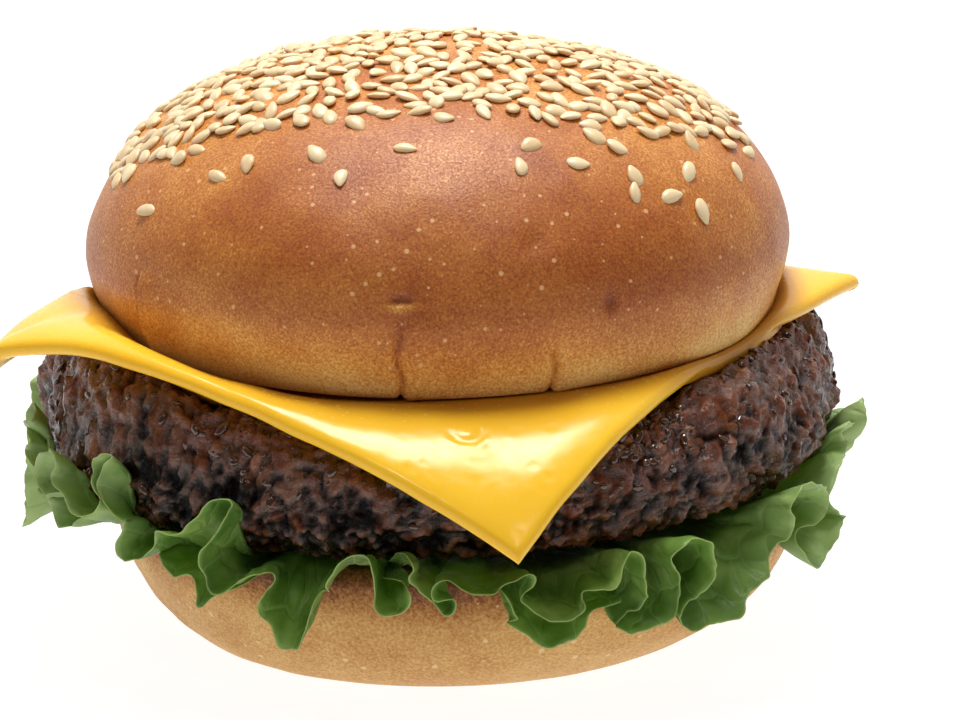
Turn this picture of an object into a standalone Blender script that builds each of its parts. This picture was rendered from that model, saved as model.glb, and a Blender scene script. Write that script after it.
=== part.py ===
"""A cheeseburger as it is stacked: heel, two lettuce leaves, beef patty, cheese slice and crown.

Metres, +Z up. The origin is the centre of the heel's flat base. -Y is the side that the
slice's long front corner hangs over.
"""

from math import atan2, cos, exp, hypot, pi, radians, sin, tan

import bmesh
import bpy
from mathutils import Vector, noise

MM = 0.001

# Heel, the lower half of the bun
HEEL_HEIGHT = 21.2 * MM
HEEL_RADIUS = 47.6 * MM
HEEL_BASE_RADIUS = 25.5 * MM  # the flat spot that it stands on
HEEL_SHOULDER = 2.4 * MM  # rounding between crust and cut face
HEEL_BELLY = 2.0  # fullness of the underside: 1 is a cone, 2 an ellipse
HEEL_LEAN = 2.6 * MM  # its upper part lies this far along +X
HEEL_UNEVEN = (1.2 * MM, 22 * MM, 3)  # height, size and seed of the crust's bumps
HEEL_FADES = (4 * MM, 3 * MM)  # how far from foot and cut face the bumps reach full height

# Crown, the upper half
CROWN_HEIGHT = 37.6 * MM
CROWN_RADIUS = 48.75 * MM
CROWN_OFFSET = 0.4 * MM  # along +X
CROWN_CUT_RADIUS = 42.0 * MM  # the cut face that sits on the slice
CROWN_WAIST = 10.3 * MM  # height of the widest ring over the cut face
CROWN_FULLNESS = 2.1  # superellipse exponent of the dome
CROWN_SKIRT_FULLNESS = 1.8  # and of the side below the waist
CROWN_LIFT = 1.8 * MM  # how far the patty's rim pushes the skirt up
CROWN_LIFT_START = 30 * MM  # the push begins at this radius
CROWN_LIFT_WIDTH = 14 * MM
CROWN_UNEVEN = (1.4 * MM, 26 * MM, 5)
CROWN_FADE = (0.5 * MM, 5 * MM)  # height at which the bumps begin, and how slowly

# Patty
PATTY_RADIUS = 54.7 * MM
PATTY_OFFSET = -0.3 * MM  # along +X
PATTY_HEIGHT = 16.9 * MM
PATTY_LOWER_ROUND = 7.0 * MM
PATTY_UPPER_ROUND = 9.0 * MM
PATTY_UNEVEN = (2.2 * MM, 9 * MM, 7)
PATTY_FADE = 6 * MM  # how slowly the bumps begin, outwards and from the underside
PATTY_TRIM_RADIUS = 48 * MM  # outside this the patty shrinks to stay under the slice
PATTY_TRIM_STEP = 0.1 * MM

# Cheese slice, a square that bends over the patty
SLICE_SIDE = 89.5 * MM
SLICE_THICKNESS = 2.5 * MM
SLICE_TURN = radians(12.5)  # its corners lie this far past the +X, +Y, -X and -Y axes
SLICE_CENTRE = Vector((-2.9 * MM, -10.2 * MM))
SLICE_BEND_START = 44.5 * MM  # the slice lies flat out to this radius
SLICE_BEND_EASE = 25.0 * MM  # how slowly it then bends down
FRONT_DROOP = radians(79.5)  # where the bend would end up in front
DROOP_HEADING = radians(275)
DROOP_FOCUS = 3.4  # how closely the droop keeps to its heading
SIDE_DROOPS = (radians(4), radians(9))  # left and right
DRAPE_STEPS = 12
TIP_CURL_START = 55.0 * MM  # the left corner bends down on its own beyond this reach
TIP_CURL = 0.028 / MM

# The patty's rim stands above its middle on two sides, as (height, direction, focus)
RIM_RISES = ((6.8 * MM, radians(206), 2.8), (3.4 * MM, radians(10), 1.5))
RIM_START = 45.8 * MM  # the climb to the rim begins at this radius
RIM_WIDTH = 3.6 * MM
RIM_FADE = (radians(148), radians(176))  # the left rise dies away towards the back
RIM_FADED = 0.3  # share of it that is left there

# Lettuce
LEAF_THICKNESS = 0.7 * MM
LEAF_ROOT_RADIUS = 2.0 * MM
LEAF_BEND_START = 44.8 * MM  # beyond this radius the leaf stands free and ruffles
LEAF_MARGIN = 13.8 * MM  # width of the free margin
LEAF_SEAM = 1.0 * MM  # each leaf keeps this far from the plane between the two
LEAF_SQUASH = 2.4 * MM  # the leaves' folds hold the patty this far above the heel
RUFFLE_SWING = 0.5  # sideways swing of the ruffles; over 0.5 they overhang
CURL_GROWTH = 1.4  # how late along the margin the curl comes

# Stack
STACK_TILT = radians(2.0)  # patty, slice and crown lean up towards +X
REST_GAP = 0.35 * MM  # between pieces that rest on each other
PATTY_GAP = 2.6 * MM  # between the patty and the slice where it bends over the rim
PATTY_BASE = HEEL_HEIGHT + LEAF_THICKNESS + LEAF_SQUASH
SLICE_BASE = PATTY_BASE + PATTY_HEIGHT + REST_GAP
CROWN_BASE = SLICE_BASE + SLICE_THICKNESS + REST_GAP

# Ruffles as (direction in degrees, pitch in degrees, share of LEAF_MARGIN). Pitch is where
# the edge ends up pointing: above 0 it climbs the patty, below 0 it hangs over the heel.
LEFT_RUFFLES = (
    (262, -20, 0.8), (257, 50, 0.85), (249, -98, 1.2), (240, 84, 1.2), (231, -55, 0.95),
    (220, 92, 1.4), (211, -30, 0.8), (203, 78, 1.1), (195, -35, 0.8),
)
RIGHT_RUFFLES = (
    (264, -10, 0.8), (268, 45, 0.85), (272, -75, 0.9), (279, 35, 0.95), (287, -98, 1.25),
    (296, 60, 1.05), (302, -85, 1.1), (307, 70, 1.1), (317, -100, 1.25), (328, 70, 1.1),
    (337, -88, 0.95), (344, 78, 1.15),
)
BACK_STEP = 10.0  # degrees between the ruffles that face away from the front
BACK_DOWN = (-80, 0.95)  # (pitch, share) of those that hang
BACK_UP = (76, 1.16)
BACK_LAST = (0, 0.7)
BACK_JITTER = (2.2, 2.4)  # how much their directions vary, and how quickly
BACK_SHARE_JITTER = (0.06, 3.1)

# Mesh densities
TURN_STEPS = 50
PATTY_STEPS = 64
SLICE_CELLS = 20
RUFFLE_CELLS = 4  # cells between a ruffle's crest and its trough
LEAF_RINGS = 6
FLAT_RINGS = 2  # of the leaf's rings, those under the patty


def clear_scene():
    for old in list(bpy.data.objects):
        bpy.data.objects.remove(old)


def make_material(name, colour, roughness):
    made = bpy.data.materials.new(name)
    made.use_nodes = True
    shader = made.node_tree.nodes["Principled BSDF"]
    shader.inputs["Base Color"].default_value = (*colour, 1.0)
    shader.inputs["Roughness"].default_value = roughness
    shader.inputs["Metallic"].default_value = 0.0
    return made


def add_object(name, mesh, material, collection, parent=None, location=(0, 0, 0)):
    made = bpy.data.objects.new(name, mesh)
    made.data.materials.append(material)
    made.parent = parent
    made.location = location
    collection.objects.link(made)
    return made


def turned_mesh(profile, steps):
    """The solid of a profile of (radius, height) points, from its top on the axis to its foot."""
    work = bmesh.new()
    points = [work.verts.new((radius, 0, height)) for radius, height in profile]
    for pair in zip(points, points[1:]):
        work.edges.new(pair)
    outline = bpy.data.meshes.new("outline")
    work.to_mesh(outline)
    work.free()

    guide = bpy.data.objects.new("outline", outline)
    bpy.context.scene.collection.objects.link(guide)
    turn = guide.modifiers.new("turn", "SCREW")
    turn.steps = turn.render_steps = steps
    turn.use_merge_vertices = True
    turn.merge_threshold = 0.01 * MM
    turn.use_smooth_shade = True
    evaluated = guide.evaluated_get(bpy.context.evaluated_depsgraph_get())
    mesh = bpy.data.meshes.new_from_object(evaluated)
    bpy.data.objects.remove(guide)
    return mesh


def quarter(centre_r, centre_z, width, height, start, end, steps, power=2.0):
    """Points of a superellipse arc round (centre_r, centre_z), between two angles in degrees."""
    points = []
    for i in range(steps + 1):
        angle = radians(start + (end - start) * i / steps)
        across, up = cos(angle), sin(angle)
        points.append((
            centre_r + width * abs(across) ** (2 / power) * (1 if across >= 0 else -1),
            centre_z + height * abs(up) ** (2 / power) * (1 if up >= 0 else -1),
        ))
    return points


def uneven(mesh, bumps, weight):
    """Moves each vertex along its normal by smooth noise, times weight(vertex position)."""
    amount, size, seed = bumps
    shift = Vector((seed, 2 * seed, 3 * seed))
    moves = [
        vertex.normal * amount * weight(vertex.co) * noise.noise(vertex.co / size + shift)
        for vertex in mesh.vertices
    ]
    for vertex, move in zip(mesh.vertices, moves):
        vertex.co += move


def smooth_step(value):
    value = min(1.0, max(0.0, value))
    return value * value * (3 - 2 * value)


def heel_mesh():
    foot = [(HEEL_BASE_RADIUS, 0.0), (0.0, 0.0)]
    shoulder = quarter(
        HEEL_RADIUS - HEEL_SHOULDER, HEEL_HEIGHT - HEEL_SHOULDER,
        HEEL_SHOULDER, HEEL_SHOULDER, 90, 0, 3,
    )
    belly_height = HEEL_HEIGHT - HEEL_SHOULDER
    belly = quarter(
        HEEL_BASE_RADIUS, belly_height, HEEL_RADIUS - HEEL_BASE_RADIUS, belly_height,
        0, -90, 6, HEEL_BELLY,
    )
    mesh = turned_mesh([(0.0, HEEL_HEIGHT)] + shoulder + belly[1:-1] + foot, TURN_STEPS)
    uneven(
        mesh, HEEL_UNEVEN,
        lambda p: (
            smooth_step(p.z / HEEL_FADES[0]) * smooth_step((HEEL_HEIGHT - p.z) / HEEL_FADES[1])
        ),
    )
    for vertex in mesh.vertices:
        vertex.co.x += HEEL_LEAN * smooth_step(2 * vertex.co.z / HEEL_HEIGHT)
    return mesh


def crown_mesh():
    dome_height = CROWN_HEIGHT - CROWN_WAIST
    dome = quarter(0, CROWN_WAIST, CROWN_RADIUS, dome_height, 90, 0, 8, CROWN_FULLNESS)
    skirt = quarter(
        CROWN_CUT_RADIUS, CROWN_WAIST, CROWN_RADIUS - CROWN_CUT_RADIUS, CROWN_WAIST,
        0, -90, 4, CROWN_SKIRT_FULLNESS,
    )
    mesh = turned_mesh(dome + skirt[1:] + [(0.0, 0.0)], TURN_STEPS)
    uneven(mesh, CROWN_UNEVEN, lambda p: smooth_step((p.z - CROWN_FADE[0]) / CROWN_FADE[1]))
    _, heading, _ = RIM_RISES[0]
    for vertex in mesh.vertices:
        point = vertex.co
        radius, direction = hypot(point.x, point.y), atan2(point.y, point.x)
        rim = smooth_step((radius - CROWN_LIFT_START) / CROWN_LIFT_WIDTH)
        rim *= max(0.0, 1 - point.z / (2 * CROWN_WAIST))
        point.z += CROWN_LIFT * rim * max(0.0, cos(direction - heading)) ** 3
    return mesh


def rim_rise(radius, direction):
    """How far the patty's rim stands above its middle, which cups the crown."""
    climb = smooth_step((radius - RIM_START) / RIM_WIDTH)
    if cos(direction) < 0:
        start, end = RIM_FADE
        fade = smooth_step((direction % (2 * pi) - start) / (end - start))
        climb *= RIM_FADED + (1 - RIM_FADED) * fade
    return climb * sum(
        height * max(0.0, cos(direction - heading)) ** focus
        for height, heading, focus in RIM_RISES
    )


def slice_droop(direction):
    """How steeply the slice would end up hanging beyond the bend."""
    front = max(0.0, cos(direction - DROOP_HEADING)) ** DROOP_FOCUS
    side = SIDE_DROOPS[0] if cos(direction) < 0 else SIDE_DROOPS[1]
    return FRONT_DROOP * front + side * cos(direction) ** 2


def slice_slope(over, direction):
    """How steeply the slice hangs at a distance beyond the start of the bend."""
    return slice_droop(direction) * (1 - exp(-over / SLICE_BEND_EASE))


def drape(reach, direction):
    """The (radius, height) at which a point of the flat slice comes to lie over the patty."""
    over = max(0.0, reach - SLICE_BEND_START)
    radius = min(reach, SLICE_BEND_START)
    left = max(0.0, -cos(direction))
    drop = left * TIP_CURL * max(0.0, reach - TIP_CURL_START) ** 2
    for step in range(DRAPE_STEPS):
        slope = slice_slope((step + 0.5) / DRAPE_STEPS * over, direction)
        radius += cos(slope) * over / DRAPE_STEPS
        drop += sin(slope) * over / DRAPE_STEPS
    return radius, rim_rise(reach, direction) - drop


def draped(u, v):
    """Where a point of the flat slice, (u, v) from its middle, comes to lie."""
    turn = SLICE_TURN - radians(45)
    x = SLICE_CENTRE.x + u * cos(turn) - v * sin(turn)
    y = SLICE_CENTRE.y + u * sin(turn) + v * cos(turn)
    reach, direction = hypot(x, y), atan2(y, x)
    radius, height = drape(reach, direction)
    scale = radius / reach if reach > 0 else 1.0
    return Vector((x * scale, y * scale, height))


def under_slice(radius, direction):
    """The height, over the slice's middle layer, that the patty has to stay below."""
    reach = radius
    for _ in range(8):
        reach += radius - drape(reach, direction)[0]
    slope = slice_slope(max(0.0, reach - SLICE_BEND_START), direction)
    clearance = SLICE_THICKNESS / 2 / cos(slope) + PATTY_GAP
    return drape(reach, direction)[1] - clearance


def patty_mesh():
    upper = quarter(
        PATTY_RADIUS - PATTY_UPPER_ROUND, PATTY_HEIGHT - PATTY_UPPER_ROUND,
        PATTY_UPPER_ROUND, PATTY_UPPER_ROUND, 90, 0, 5,
    )
    lower = quarter(
        PATTY_RADIUS - PATTY_LOWER_ROUND, PATTY_LOWER_ROUND,
        PATTY_LOWER_ROUND, PATTY_LOWER_ROUND, 0, -90, 4,
    )
    rest = [(0.0, PATTY_HEIGHT), (PATTY_RADIUS - 2 * PATTY_UPPER_ROUND, PATTY_HEIGHT)]
    mesh = turned_mesh(rest + upper + lower[1:] + [(0.0, 0.0)], PATTY_STEPS)
    uneven(
        mesh, PATTY_UNEVEN,
        lambda p: (
            smooth_step((hypot(p.x, p.y) - PATTY_TRIM_RADIUS) / PATTY_FADE)
            * smooth_step(p.z / PATTY_FADE)
        ),
    )
    slice_middle = SLICE_BASE + SLICE_THICKNESS / 2 - PATTY_BASE
    for vertex in mesh.vertices:
        point = vertex.co
        point.x += PATTY_OFFSET
        radius, direction = hypot(point.x, point.y), atan2(point.y, point.x)
        top_share = max(0.0, 2 * point.z / PATTY_HEIGHT - 1)
        point.z += top_share * rim_rise(radius, direction)
        shrunk = radius
        while shrunk > PATTY_TRIM_RADIUS and point.z > slice_middle + under_slice(shrunk, direction):
            shrunk -= PATTY_TRIM_STEP
        if radius > 0:
            point.x *= shrunk / radius
            point.y *= shrunk / radius
        point.z = min(point.z, slice_middle + under_slice(shrunk, direction))
        point.x -= PATTY_OFFSET
    return mesh


def slice_mesh():
    work = bmesh.new()
    bmesh.ops.create_grid(
        work, x_segments=SLICE_CELLS, y_segments=SLICE_CELLS, size=SLICE_SIDE / 2
    )
    for vertex in work.verts:
        vertex.co = draped(vertex.co.x, vertex.co.y)
    mesh = bpy.data.meshes.new("slice")
    work.to_mesh(mesh)
    work.free()
    mesh.shade_smooth()
    return mesh


def back_ruffles(start, end, first_down):
    """Ruffles from one direction to another, in degrees, up and down in turn."""
    count = round(abs(end - start) / BACK_STEP)
    made = []
    for i in range(1, count):
        pitch, share = BACK_DOWN if i % 2 == first_down else BACK_UP
        jitter = BACK_JITTER[0] * sin(BACK_JITTER[1] * i + start)
        share += BACK_SHARE_JITTER[0] * sin(BACK_SHARE_JITTER[1] * i)
        made.append((start + (end - start) * i / count + jitter, pitch, share))
    return made + [(end, *BACK_LAST)]


def ruffle_rows(ruffles):
    """(direction, pitch, margin, swing) along a leaf's edge, in RUFFLE_CELLS cells a ruffle."""
    rows = []
    for (from_dir, from_pitch, from_share), (to_dir, to_pitch, to_share) in zip(
        ruffles, ruffles[1:]
    ):
        for i in range(RUFFLE_CELLS):
            along = i / RUFFLE_CELLS
            blend = (1 - cos(pi * along)) / 2
            swing = RUFFLE_SWING * (to_dir - from_dir) / pi * sin(2 * pi * along)
            rows.append((
                from_dir + (to_dir - from_dir) * along,
                from_pitch + (to_pitch - from_pitch) * blend,
                from_share + (to_share - from_share) * blend,
                swing,
            ))
    last_dir, last_pitch, last_share = ruffles[-1]
    return rows + [(last_dir, last_pitch, last_share, 0.0)]


def leaf_path(margin, pitch):
    """Points (out, up) of a leaf's free margin, which curls ever faster up to its pitch."""
    free_rings = LEAF_RINGS - FLAT_RINGS
    substeps = 8
    out = up = 0.0
    points = [(out, up)]
    for i in range(free_rings * substeps):
        share = (i + 0.5) / (free_rings * substeps)
        angle = pitch * share**CURL_GROWTH
        out += cos(angle) * margin / (free_rings * substeps)
        up += sin(angle) * margin / (free_rings * substeps)
        if (i + 1) % substeps == 0:
            points.append((out, up))
    return points


def leaf_point(row, ring, centre_x):
    """A leaf's point on a ring counted from its root: flat under the patty, then up or down."""
    direction, pitch, share, swing = row
    if ring <= FLAT_RINGS:
        radius = LEAF_ROOT_RADIUS + (LEAF_BEND_START - LEAF_ROOT_RADIUS) * ring / FLAT_RINGS
        climb = free = 0.0
    else:
        free = (ring - FLAT_RINGS) / (LEAF_RINGS - FLAT_RINGS)
        out, climb = leaf_path(LEAF_MARGIN * share, radians(pitch))[ring - FLAT_RINGS]
        radius = LEAF_BEND_START + out
    heading = radians(direction + swing * free**2)
    x, y = centre_x + radius * cos(heading), radius * sin(heading)
    middle = (HEEL_HEIGHT + PATTY_BASE + min(0.0, x) * tan(STACK_TILT)) / 2
    return Vector((x, y, middle + climb))


def leaf_mesh(ruffles, centre_x):
    rows = ruffle_rows(ruffles)
    work = bmesh.new()
    bmesh.ops.create_grid(work, x_segments=len(rows) - 1, y_segments=LEAF_RINGS, size=0.5)
    for vertex in work.verts:
        row = rows[round((vertex.co.x + 0.5) * (len(rows) - 1))]
        ring = round((vertex.co.y + 0.5) * LEAF_RINGS)
        vertex.co = leaf_point(row, ring, centre_x)
    mesh = bpy.data.meshes.new("leaf")
    work.to_mesh(mesh)
    work.free()
    mesh.shade_smooth()
    return mesh


def give_thickness(sheet, thickness):
    wall = sheet.modifiers.new("thickness", "SOLIDIFY")
    wall.thickness = thickness
    wall.offset = 0.0
    wall.use_even_offset = False


def main():
    clear_scene()
    parts = bpy.data.collections.new("cheeseburger")
    bpy.context.scene.collection.children.link(parts)

    crust = make_material("golden crust", (0.52, 0.24, 0.075), 0.55)
    base_crust = make_material("pale crust", (0.62, 0.36, 0.15), 0.7)
    beef = make_material("seared beef", (0.055, 0.026, 0.018), 0.35)
    cheese = make_material("processed cheese", (0.87, 0.48, 0.05), 0.3)
    lettuce = make_material("green leaf", (0.10, 0.25, 0.03), 0.4)

    stack = bpy.data.objects.new("stack_tilt", None)
    stack.location = (0, 0, CROWN_BASE)
    stack.rotation_euler = (0, -STACK_TILT, 0)
    parts.objects.link(stack)

    add_object("bun_heel", heel_mesh(), base_crust, parts)

    left_end, right_end = LEFT_RUFFLES[-1][0], RIGHT_RUFFLES[-1][0]
    leaves = (
        ("lettuce_left", LEFT_RUFFLES + tuple(back_ruffles(left_end, 98, False)), -LEAF_SEAM),
        ("lettuce_right", RIGHT_RUFFLES + tuple(back_ruffles(right_end, 454, True)), LEAF_SEAM),
    )
    for name, ruffles, centre_x in leaves:
        leaf = add_object(name, leaf_mesh(ruffles, centre_x), lettuce, parts)
        give_thickness(leaf, LEAF_THICKNESS)

    patty_place = (PATTY_OFFSET, 0, PATTY_BASE - CROWN_BASE)
    add_object("beef_patty", patty_mesh(), beef, parts, stack, patty_place)

    slice_place = (0, 0, SLICE_BASE + SLICE_THICKNESS / 2 - CROWN_BASE)
    slab = add_object("cheese_slice", slice_mesh(), cheese, parts, stack, slice_place)
    give_thickness(slab, SLICE_THICKNESS)

    add_object("bun_crown", crown_mesh(), crust, parts, stack, (CROWN_OFFSET, 0, 0))
    bpy.context.view_layer.update()


main()
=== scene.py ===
from math import atan2, cos, pi, radians, sin, tan

import bpy
import numpy as np
from mathutils import Matrix, Vector
from mathutils.bvhtree import BVHTree


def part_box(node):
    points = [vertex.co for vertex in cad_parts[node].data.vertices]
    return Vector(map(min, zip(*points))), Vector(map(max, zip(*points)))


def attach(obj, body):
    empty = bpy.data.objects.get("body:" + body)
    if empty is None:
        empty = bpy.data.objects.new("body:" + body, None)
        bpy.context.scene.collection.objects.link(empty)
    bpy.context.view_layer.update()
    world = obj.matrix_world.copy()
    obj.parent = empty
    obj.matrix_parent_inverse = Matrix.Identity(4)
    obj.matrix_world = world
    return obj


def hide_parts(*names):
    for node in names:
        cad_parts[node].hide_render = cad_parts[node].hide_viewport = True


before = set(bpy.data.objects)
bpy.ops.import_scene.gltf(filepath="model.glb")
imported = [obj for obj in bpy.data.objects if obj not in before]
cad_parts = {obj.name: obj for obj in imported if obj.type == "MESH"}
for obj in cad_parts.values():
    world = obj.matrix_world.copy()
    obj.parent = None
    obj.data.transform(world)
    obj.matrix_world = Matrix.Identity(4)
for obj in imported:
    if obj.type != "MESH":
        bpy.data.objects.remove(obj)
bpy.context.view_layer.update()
print("frame loaded:", ", ".join(sorted(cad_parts)))

mm = 0.001

# How the layers stand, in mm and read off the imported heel: everything from the patty up leans
# towards +X about the middle of the crown's cut face.
heelLow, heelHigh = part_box("bun_heel")
stack = dict(
    lean=radians(2.0),
    heelHeight=heelHigh.z / mm,
    gap=0.35,
    leafThickness=0.7,
    pattyHeight=16.9,
    sliceThickness=2.5,
)
stack["pattyBase"] = stack["heelHeight"] + stack["leafThickness"] + 2.4
stack["sliceBase"] = stack["pattyBase"] + stack["pattyHeight"] + stack["gap"]
stack["crownBase"] = stack["sliceBase"] + stack["sliceThickness"] + stack["gap"]
leanTurn = np.array(Matrix.Rotation(-stack["lean"], 3, "Y"))


def leanPoints(points):  # from upright, with height 0 at the crown's cut face, to where it stands
    return points @ leanTurn.T + np.array((0, 0, stack["crownBase"]))


def uprightPoints(points):
    return (points - np.array((0, 0, stack["crownBase"]))) @ leanTurn


# Small helpers for points, in mm
def clearSelection():
    if bpy.context.object and bpy.context.object.mode != "OBJECT":
        bpy.ops.object.mode_set(mode="OBJECT")
    bpy.ops.object.select_all(action="DESELECT")


def pick(piece):
    clearSelection()
    piece.select_set(True)
    bpy.context.view_layer.objects.active = piece


def getPoints(piece):
    flat = np.empty(len(piece.data.vertices) * 3, np.float32)
    piece.data.vertices.foreach_get("co", flat)
    return flat.reshape(-1, 3).astype(float) / mm


def setPoints(piece, points):
    piece.data.vertices.foreach_set("co", (points * mm).astype(np.float32).ravel())
    piece.data.update()


def getNormals(piece):
    flat = np.empty(len(piece.data.vertices) * 3, np.float32)
    piece.data.vertex_normals.foreach_get("vector", flat)
    return flat.reshape(-1, 3).astype(float)


def storeValue(piece, name, values):  # one number a vertex, for a material to read
    layer = piece.data.attributes.new(name, "FLOAT", "POINT")
    layer.data.foreach_set("value", np.asarray(values, np.float32))


def applyModifier(piece, kind, **settings):
    pick(piece)
    modifier = piece.modifiers.new(kind.title(), kind)
    for name, value in settings.items():
        setattr(modifier, name, value)
    bpy.ops.object.modifier_apply(modifier=modifier.name)


def smoothStep(value, low=0.0, high=1.0):
    share = np.clip((value - low) / (high - low), 0.0, 1.0)
    return share * share * (3 - 2 * share)


def scatter(cells, seed):  # a steady random number from 0 to 1 for each whole-number cell
    mixed = cells[..., 0] * 73856093 ^ cells[..., 1] * 19349663 ^ cells[..., 2] * 83492791
    mixed = (mixed + seed * 2654435) & 0x7FFFFFFF
    mixed = (mixed ^ (mixed >> 13)) * 1274126177 & 0x7FFFFFFF
    mixed = (mixed ^ (mixed >> 16)) * 668265263 & 0x7FFFFFFF
    return (mixed & 0xFFFFF) / 0xFFFFF


def bumps(points, size, seed):  # soft noise from -1 to 1 with bumps about size mm apart
    place = points / size + 50.0
    cell = np.floor(place).astype(np.int64)
    inside = place - cell
    ease = inside * inside * (3 - 2 * inside)
    total = np.zeros(len(points))
    for corner in np.ndindex(2, 2, 2):
        step = np.array(corner)
        weight = np.prod(np.where(step == 1, ease, 1 - ease), axis=1)
        total += weight * scatter(cell + step, seed)
    return 2 * total - 1


def grains(points, size, seed):  # distance to the nearest and next grain centre, over size
    place = points / size + 50.0
    cell = np.floor(place).astype(np.int64)
    near = np.full(len(points), 9.0)
    far = np.full(len(points), 9.0)
    tone = np.zeros(len(points))
    for corner in np.ndindex(3, 3, 3):
        other = cell + np.array(corner) - 1
        centre = other + np.stack([scatter(other, seed + k) for k in range(3)], axis=1)
        gap = np.linalg.norm(centre - place, axis=1)
        closer = gap < near
        far = np.where(closer, near, np.minimum(far, gap))
        tone = np.where(closer, scatter(other, seed + 7), tone)
        near = np.where(closer, gap, near)
    return near, far, tone


def quarter(centre, size, start, end, steps, power=2.0):  # a squarish arc of (radius, height)
    angles = [radians(start + (end - start) * i / steps) for i in range(steps + 1)]
    return [
        (
            centre[0] + size[0] * abs(cos(angle)) ** (2 / power),
            centre[1] + size[1] * abs(sin(angle)) ** (2 / power) * (1 if angle >= 0 else -1),
        )
        for angle in angles
    ]


def ringSolid(name, rings, segments, levels):
    # a disc pulled up ring by ring, from the foot to the top; its two flat ends are taken off
    # while it is smoothed and filled again afterwards
    clearSelection()
    radius, height = rings[0]
    bpy.ops.mesh.primitive_circle_add(
        vertices=segments, radius=radius * mm, fill_type="NGON", location=(0, 0, height * mm)
    )
    piece = bpy.context.object
    piece.name = piece.data.name = name
    bpy.ops.object.transform_apply(location=True)
    bpy.ops.object.mode_set(mode="EDIT")
    bpy.ops.mesh.select_all(action="SELECT")
    for nextRadius, nextHeight in rings[1:]:
        bpy.ops.mesh.extrude_region_move(
            TRANSFORM_OT_translate={"value": (0, 0, (nextHeight - height) * mm)}
        )
        share = nextRadius / radius
        bpy.ops.transform.resize(value=(share, share, 1))
        radius, height = nextRadius, nextHeight
    bpy.ops.mesh.select_all(action="SELECT")
    bpy.ops.mesh.normals_make_consistent(inside=False)
    bpy.ops.object.mode_set(mode="OBJECT")
    ends = [face for face in piece.data.polygons if len(face.vertices) > 4]
    selectFaces(piece, [face.index for face in ends])
    bpy.ops.object.mode_set(mode="EDIT")
    bpy.ops.mesh.delete(type="ONLY_FACE")
    bpy.ops.object.mode_set(mode="OBJECT")
    applyModifier(piece, "SUBSURF", levels=levels, render_levels=levels)
    bpy.ops.object.mode_set(mode="EDIT")
    bpy.ops.mesh.select_all(action="SELECT")
    bpy.ops.mesh.fill_holes(sides=0)
    bpy.ops.mesh.select_all(action="SELECT")
    bpy.ops.mesh.normals_make_consistent(inside=False)
    bpy.ops.object.mode_set(mode="OBJECT")
    bpy.ops.object.shade_smooth()
    return piece


def selectFaces(piece, wanted):
    pick(piece)
    bpy.ops.object.mode_set(mode="EDIT")
    bpy.ops.mesh.select_mode(type="FACE")
    bpy.ops.mesh.select_all(action="DESELECT")
    bpy.ops.object.mode_set(mode="OBJECT")
    for index in wanted:
        piece.data.polygons[index].select = True


def polar(points):
    return np.hypot(points[:, 0], points[:, 1]), np.arctan2(points[:, 1], points[:, 0])


def turnedBy(direction, degrees):  # signed angle from a heading, in radians
    return (direction - radians(degrees) + pi) % (2 * pi) - pi


def fromPolar(radius, direction, height):
    return np.stack([radius * np.cos(direction), radius * np.sin(direction), height], axis=-1)


# Small helpers for materials
def linearColour(hexText):
    channels = [int(hexText[i : i + 2], 16) / 255 for i in (0, 2, 4)]
    return tuple(
        c / 12.92 if c <= 0.04045 else ((c + 0.055) / 1.055) ** 2.4 for c in channels
    ) + (1.0,)


def addNode(tree, kind, inputs=None, stops=None, **settings):
    node = tree.nodes.new(kind)
    for name, value in settings.items():
        setattr(node, name, value)
    for name, value in (inputs or {}).items():
        if isinstance(value, bpy.types.NodeSocket):
            tree.links.new(value, node.inputs[name])
        else:
            node.inputs[name].default_value = value
    if stops:
        ramp = node.color_ramp.elements
        while len(ramp) < len(stops):
            ramp.new(0.5)
        for element, (place, colour) in zip(ramp, stops):
            element.position = place
            element.color = linearColour(colour)
    return node


def newMaterial(name):
    material = bpy.data.materials.new(name)
    material.use_nodes = True
    tree = material.node_tree
    return material, tree, tree.nodes["Principled BSDF"]


def setShader(shader, **values):
    for name, value in values.items():
        socket = shader.inputs[name.replace("_", " ")]
        if isinstance(value, bpy.types.NodeSocket):
            shader.id_data.links.new(value, socket)
        else:
            socket.default_value = value


def dress(piece, material, node):
    piece.data.materials.clear()
    piece.data.materials.append(material)
    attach(piece, "root")
    if node:
        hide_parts(node)


# The camera looks along +Y and a little down, from the side of the slice's hanging corner.
camera = dict(target=(5.8, 0.0, 37.4), distance=562.5, elevation=radians(15), lens=151.9)


def makeCamera(look):
    rise = look["elevation"]
    offset = Vector((0, -cos(rise), sin(rise))) * look["distance"]
    place = (Vector(look["target"]) + offset) * mm
    bpy.ops.object.camera_add(location=place, rotation=(pi / 2 - rise, 0, 0))
    made = bpy.context.object
    made.data.lens = look["lens"]
    made.data.sensor_width = 36.0
    made.data.clip_start = 0.01
    bpy.context.scene.camera = made


clearSelection()
makeCamera(camera)


# Wheat crust, baked: the sugars on top brown most, so its tone follows how much heat each
# place took; the stored tone also carries painted shade in cracks, hollows and at the heel's rim. Matt,
# with a fine open grain and small pale flecks.
crownCrust = dict(
    tones=[(0.0, "F2CB7E"), (0.25, "DA9A4A"), (0.5, "B86F2D"), (0.75, "9A4D1A"), (1.0, "773410")],
    fleck="E3B47C",
    fleckSpacing=1.7,  # mm
    grain=0.34,  # mm
    roughness=0.42,
)
heelCrust = dict(
    tones=[(0.0, "E6BF7E"), (0.3, "D2A05C"), (0.6, "B57A3C"), (0.8, "8F5429"), (1.0, "5E3319")],
    fleck="EBCB96",
    fleckSpacing=2.3,
    grain=0.42,
    roughness=0.6,
)


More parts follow.
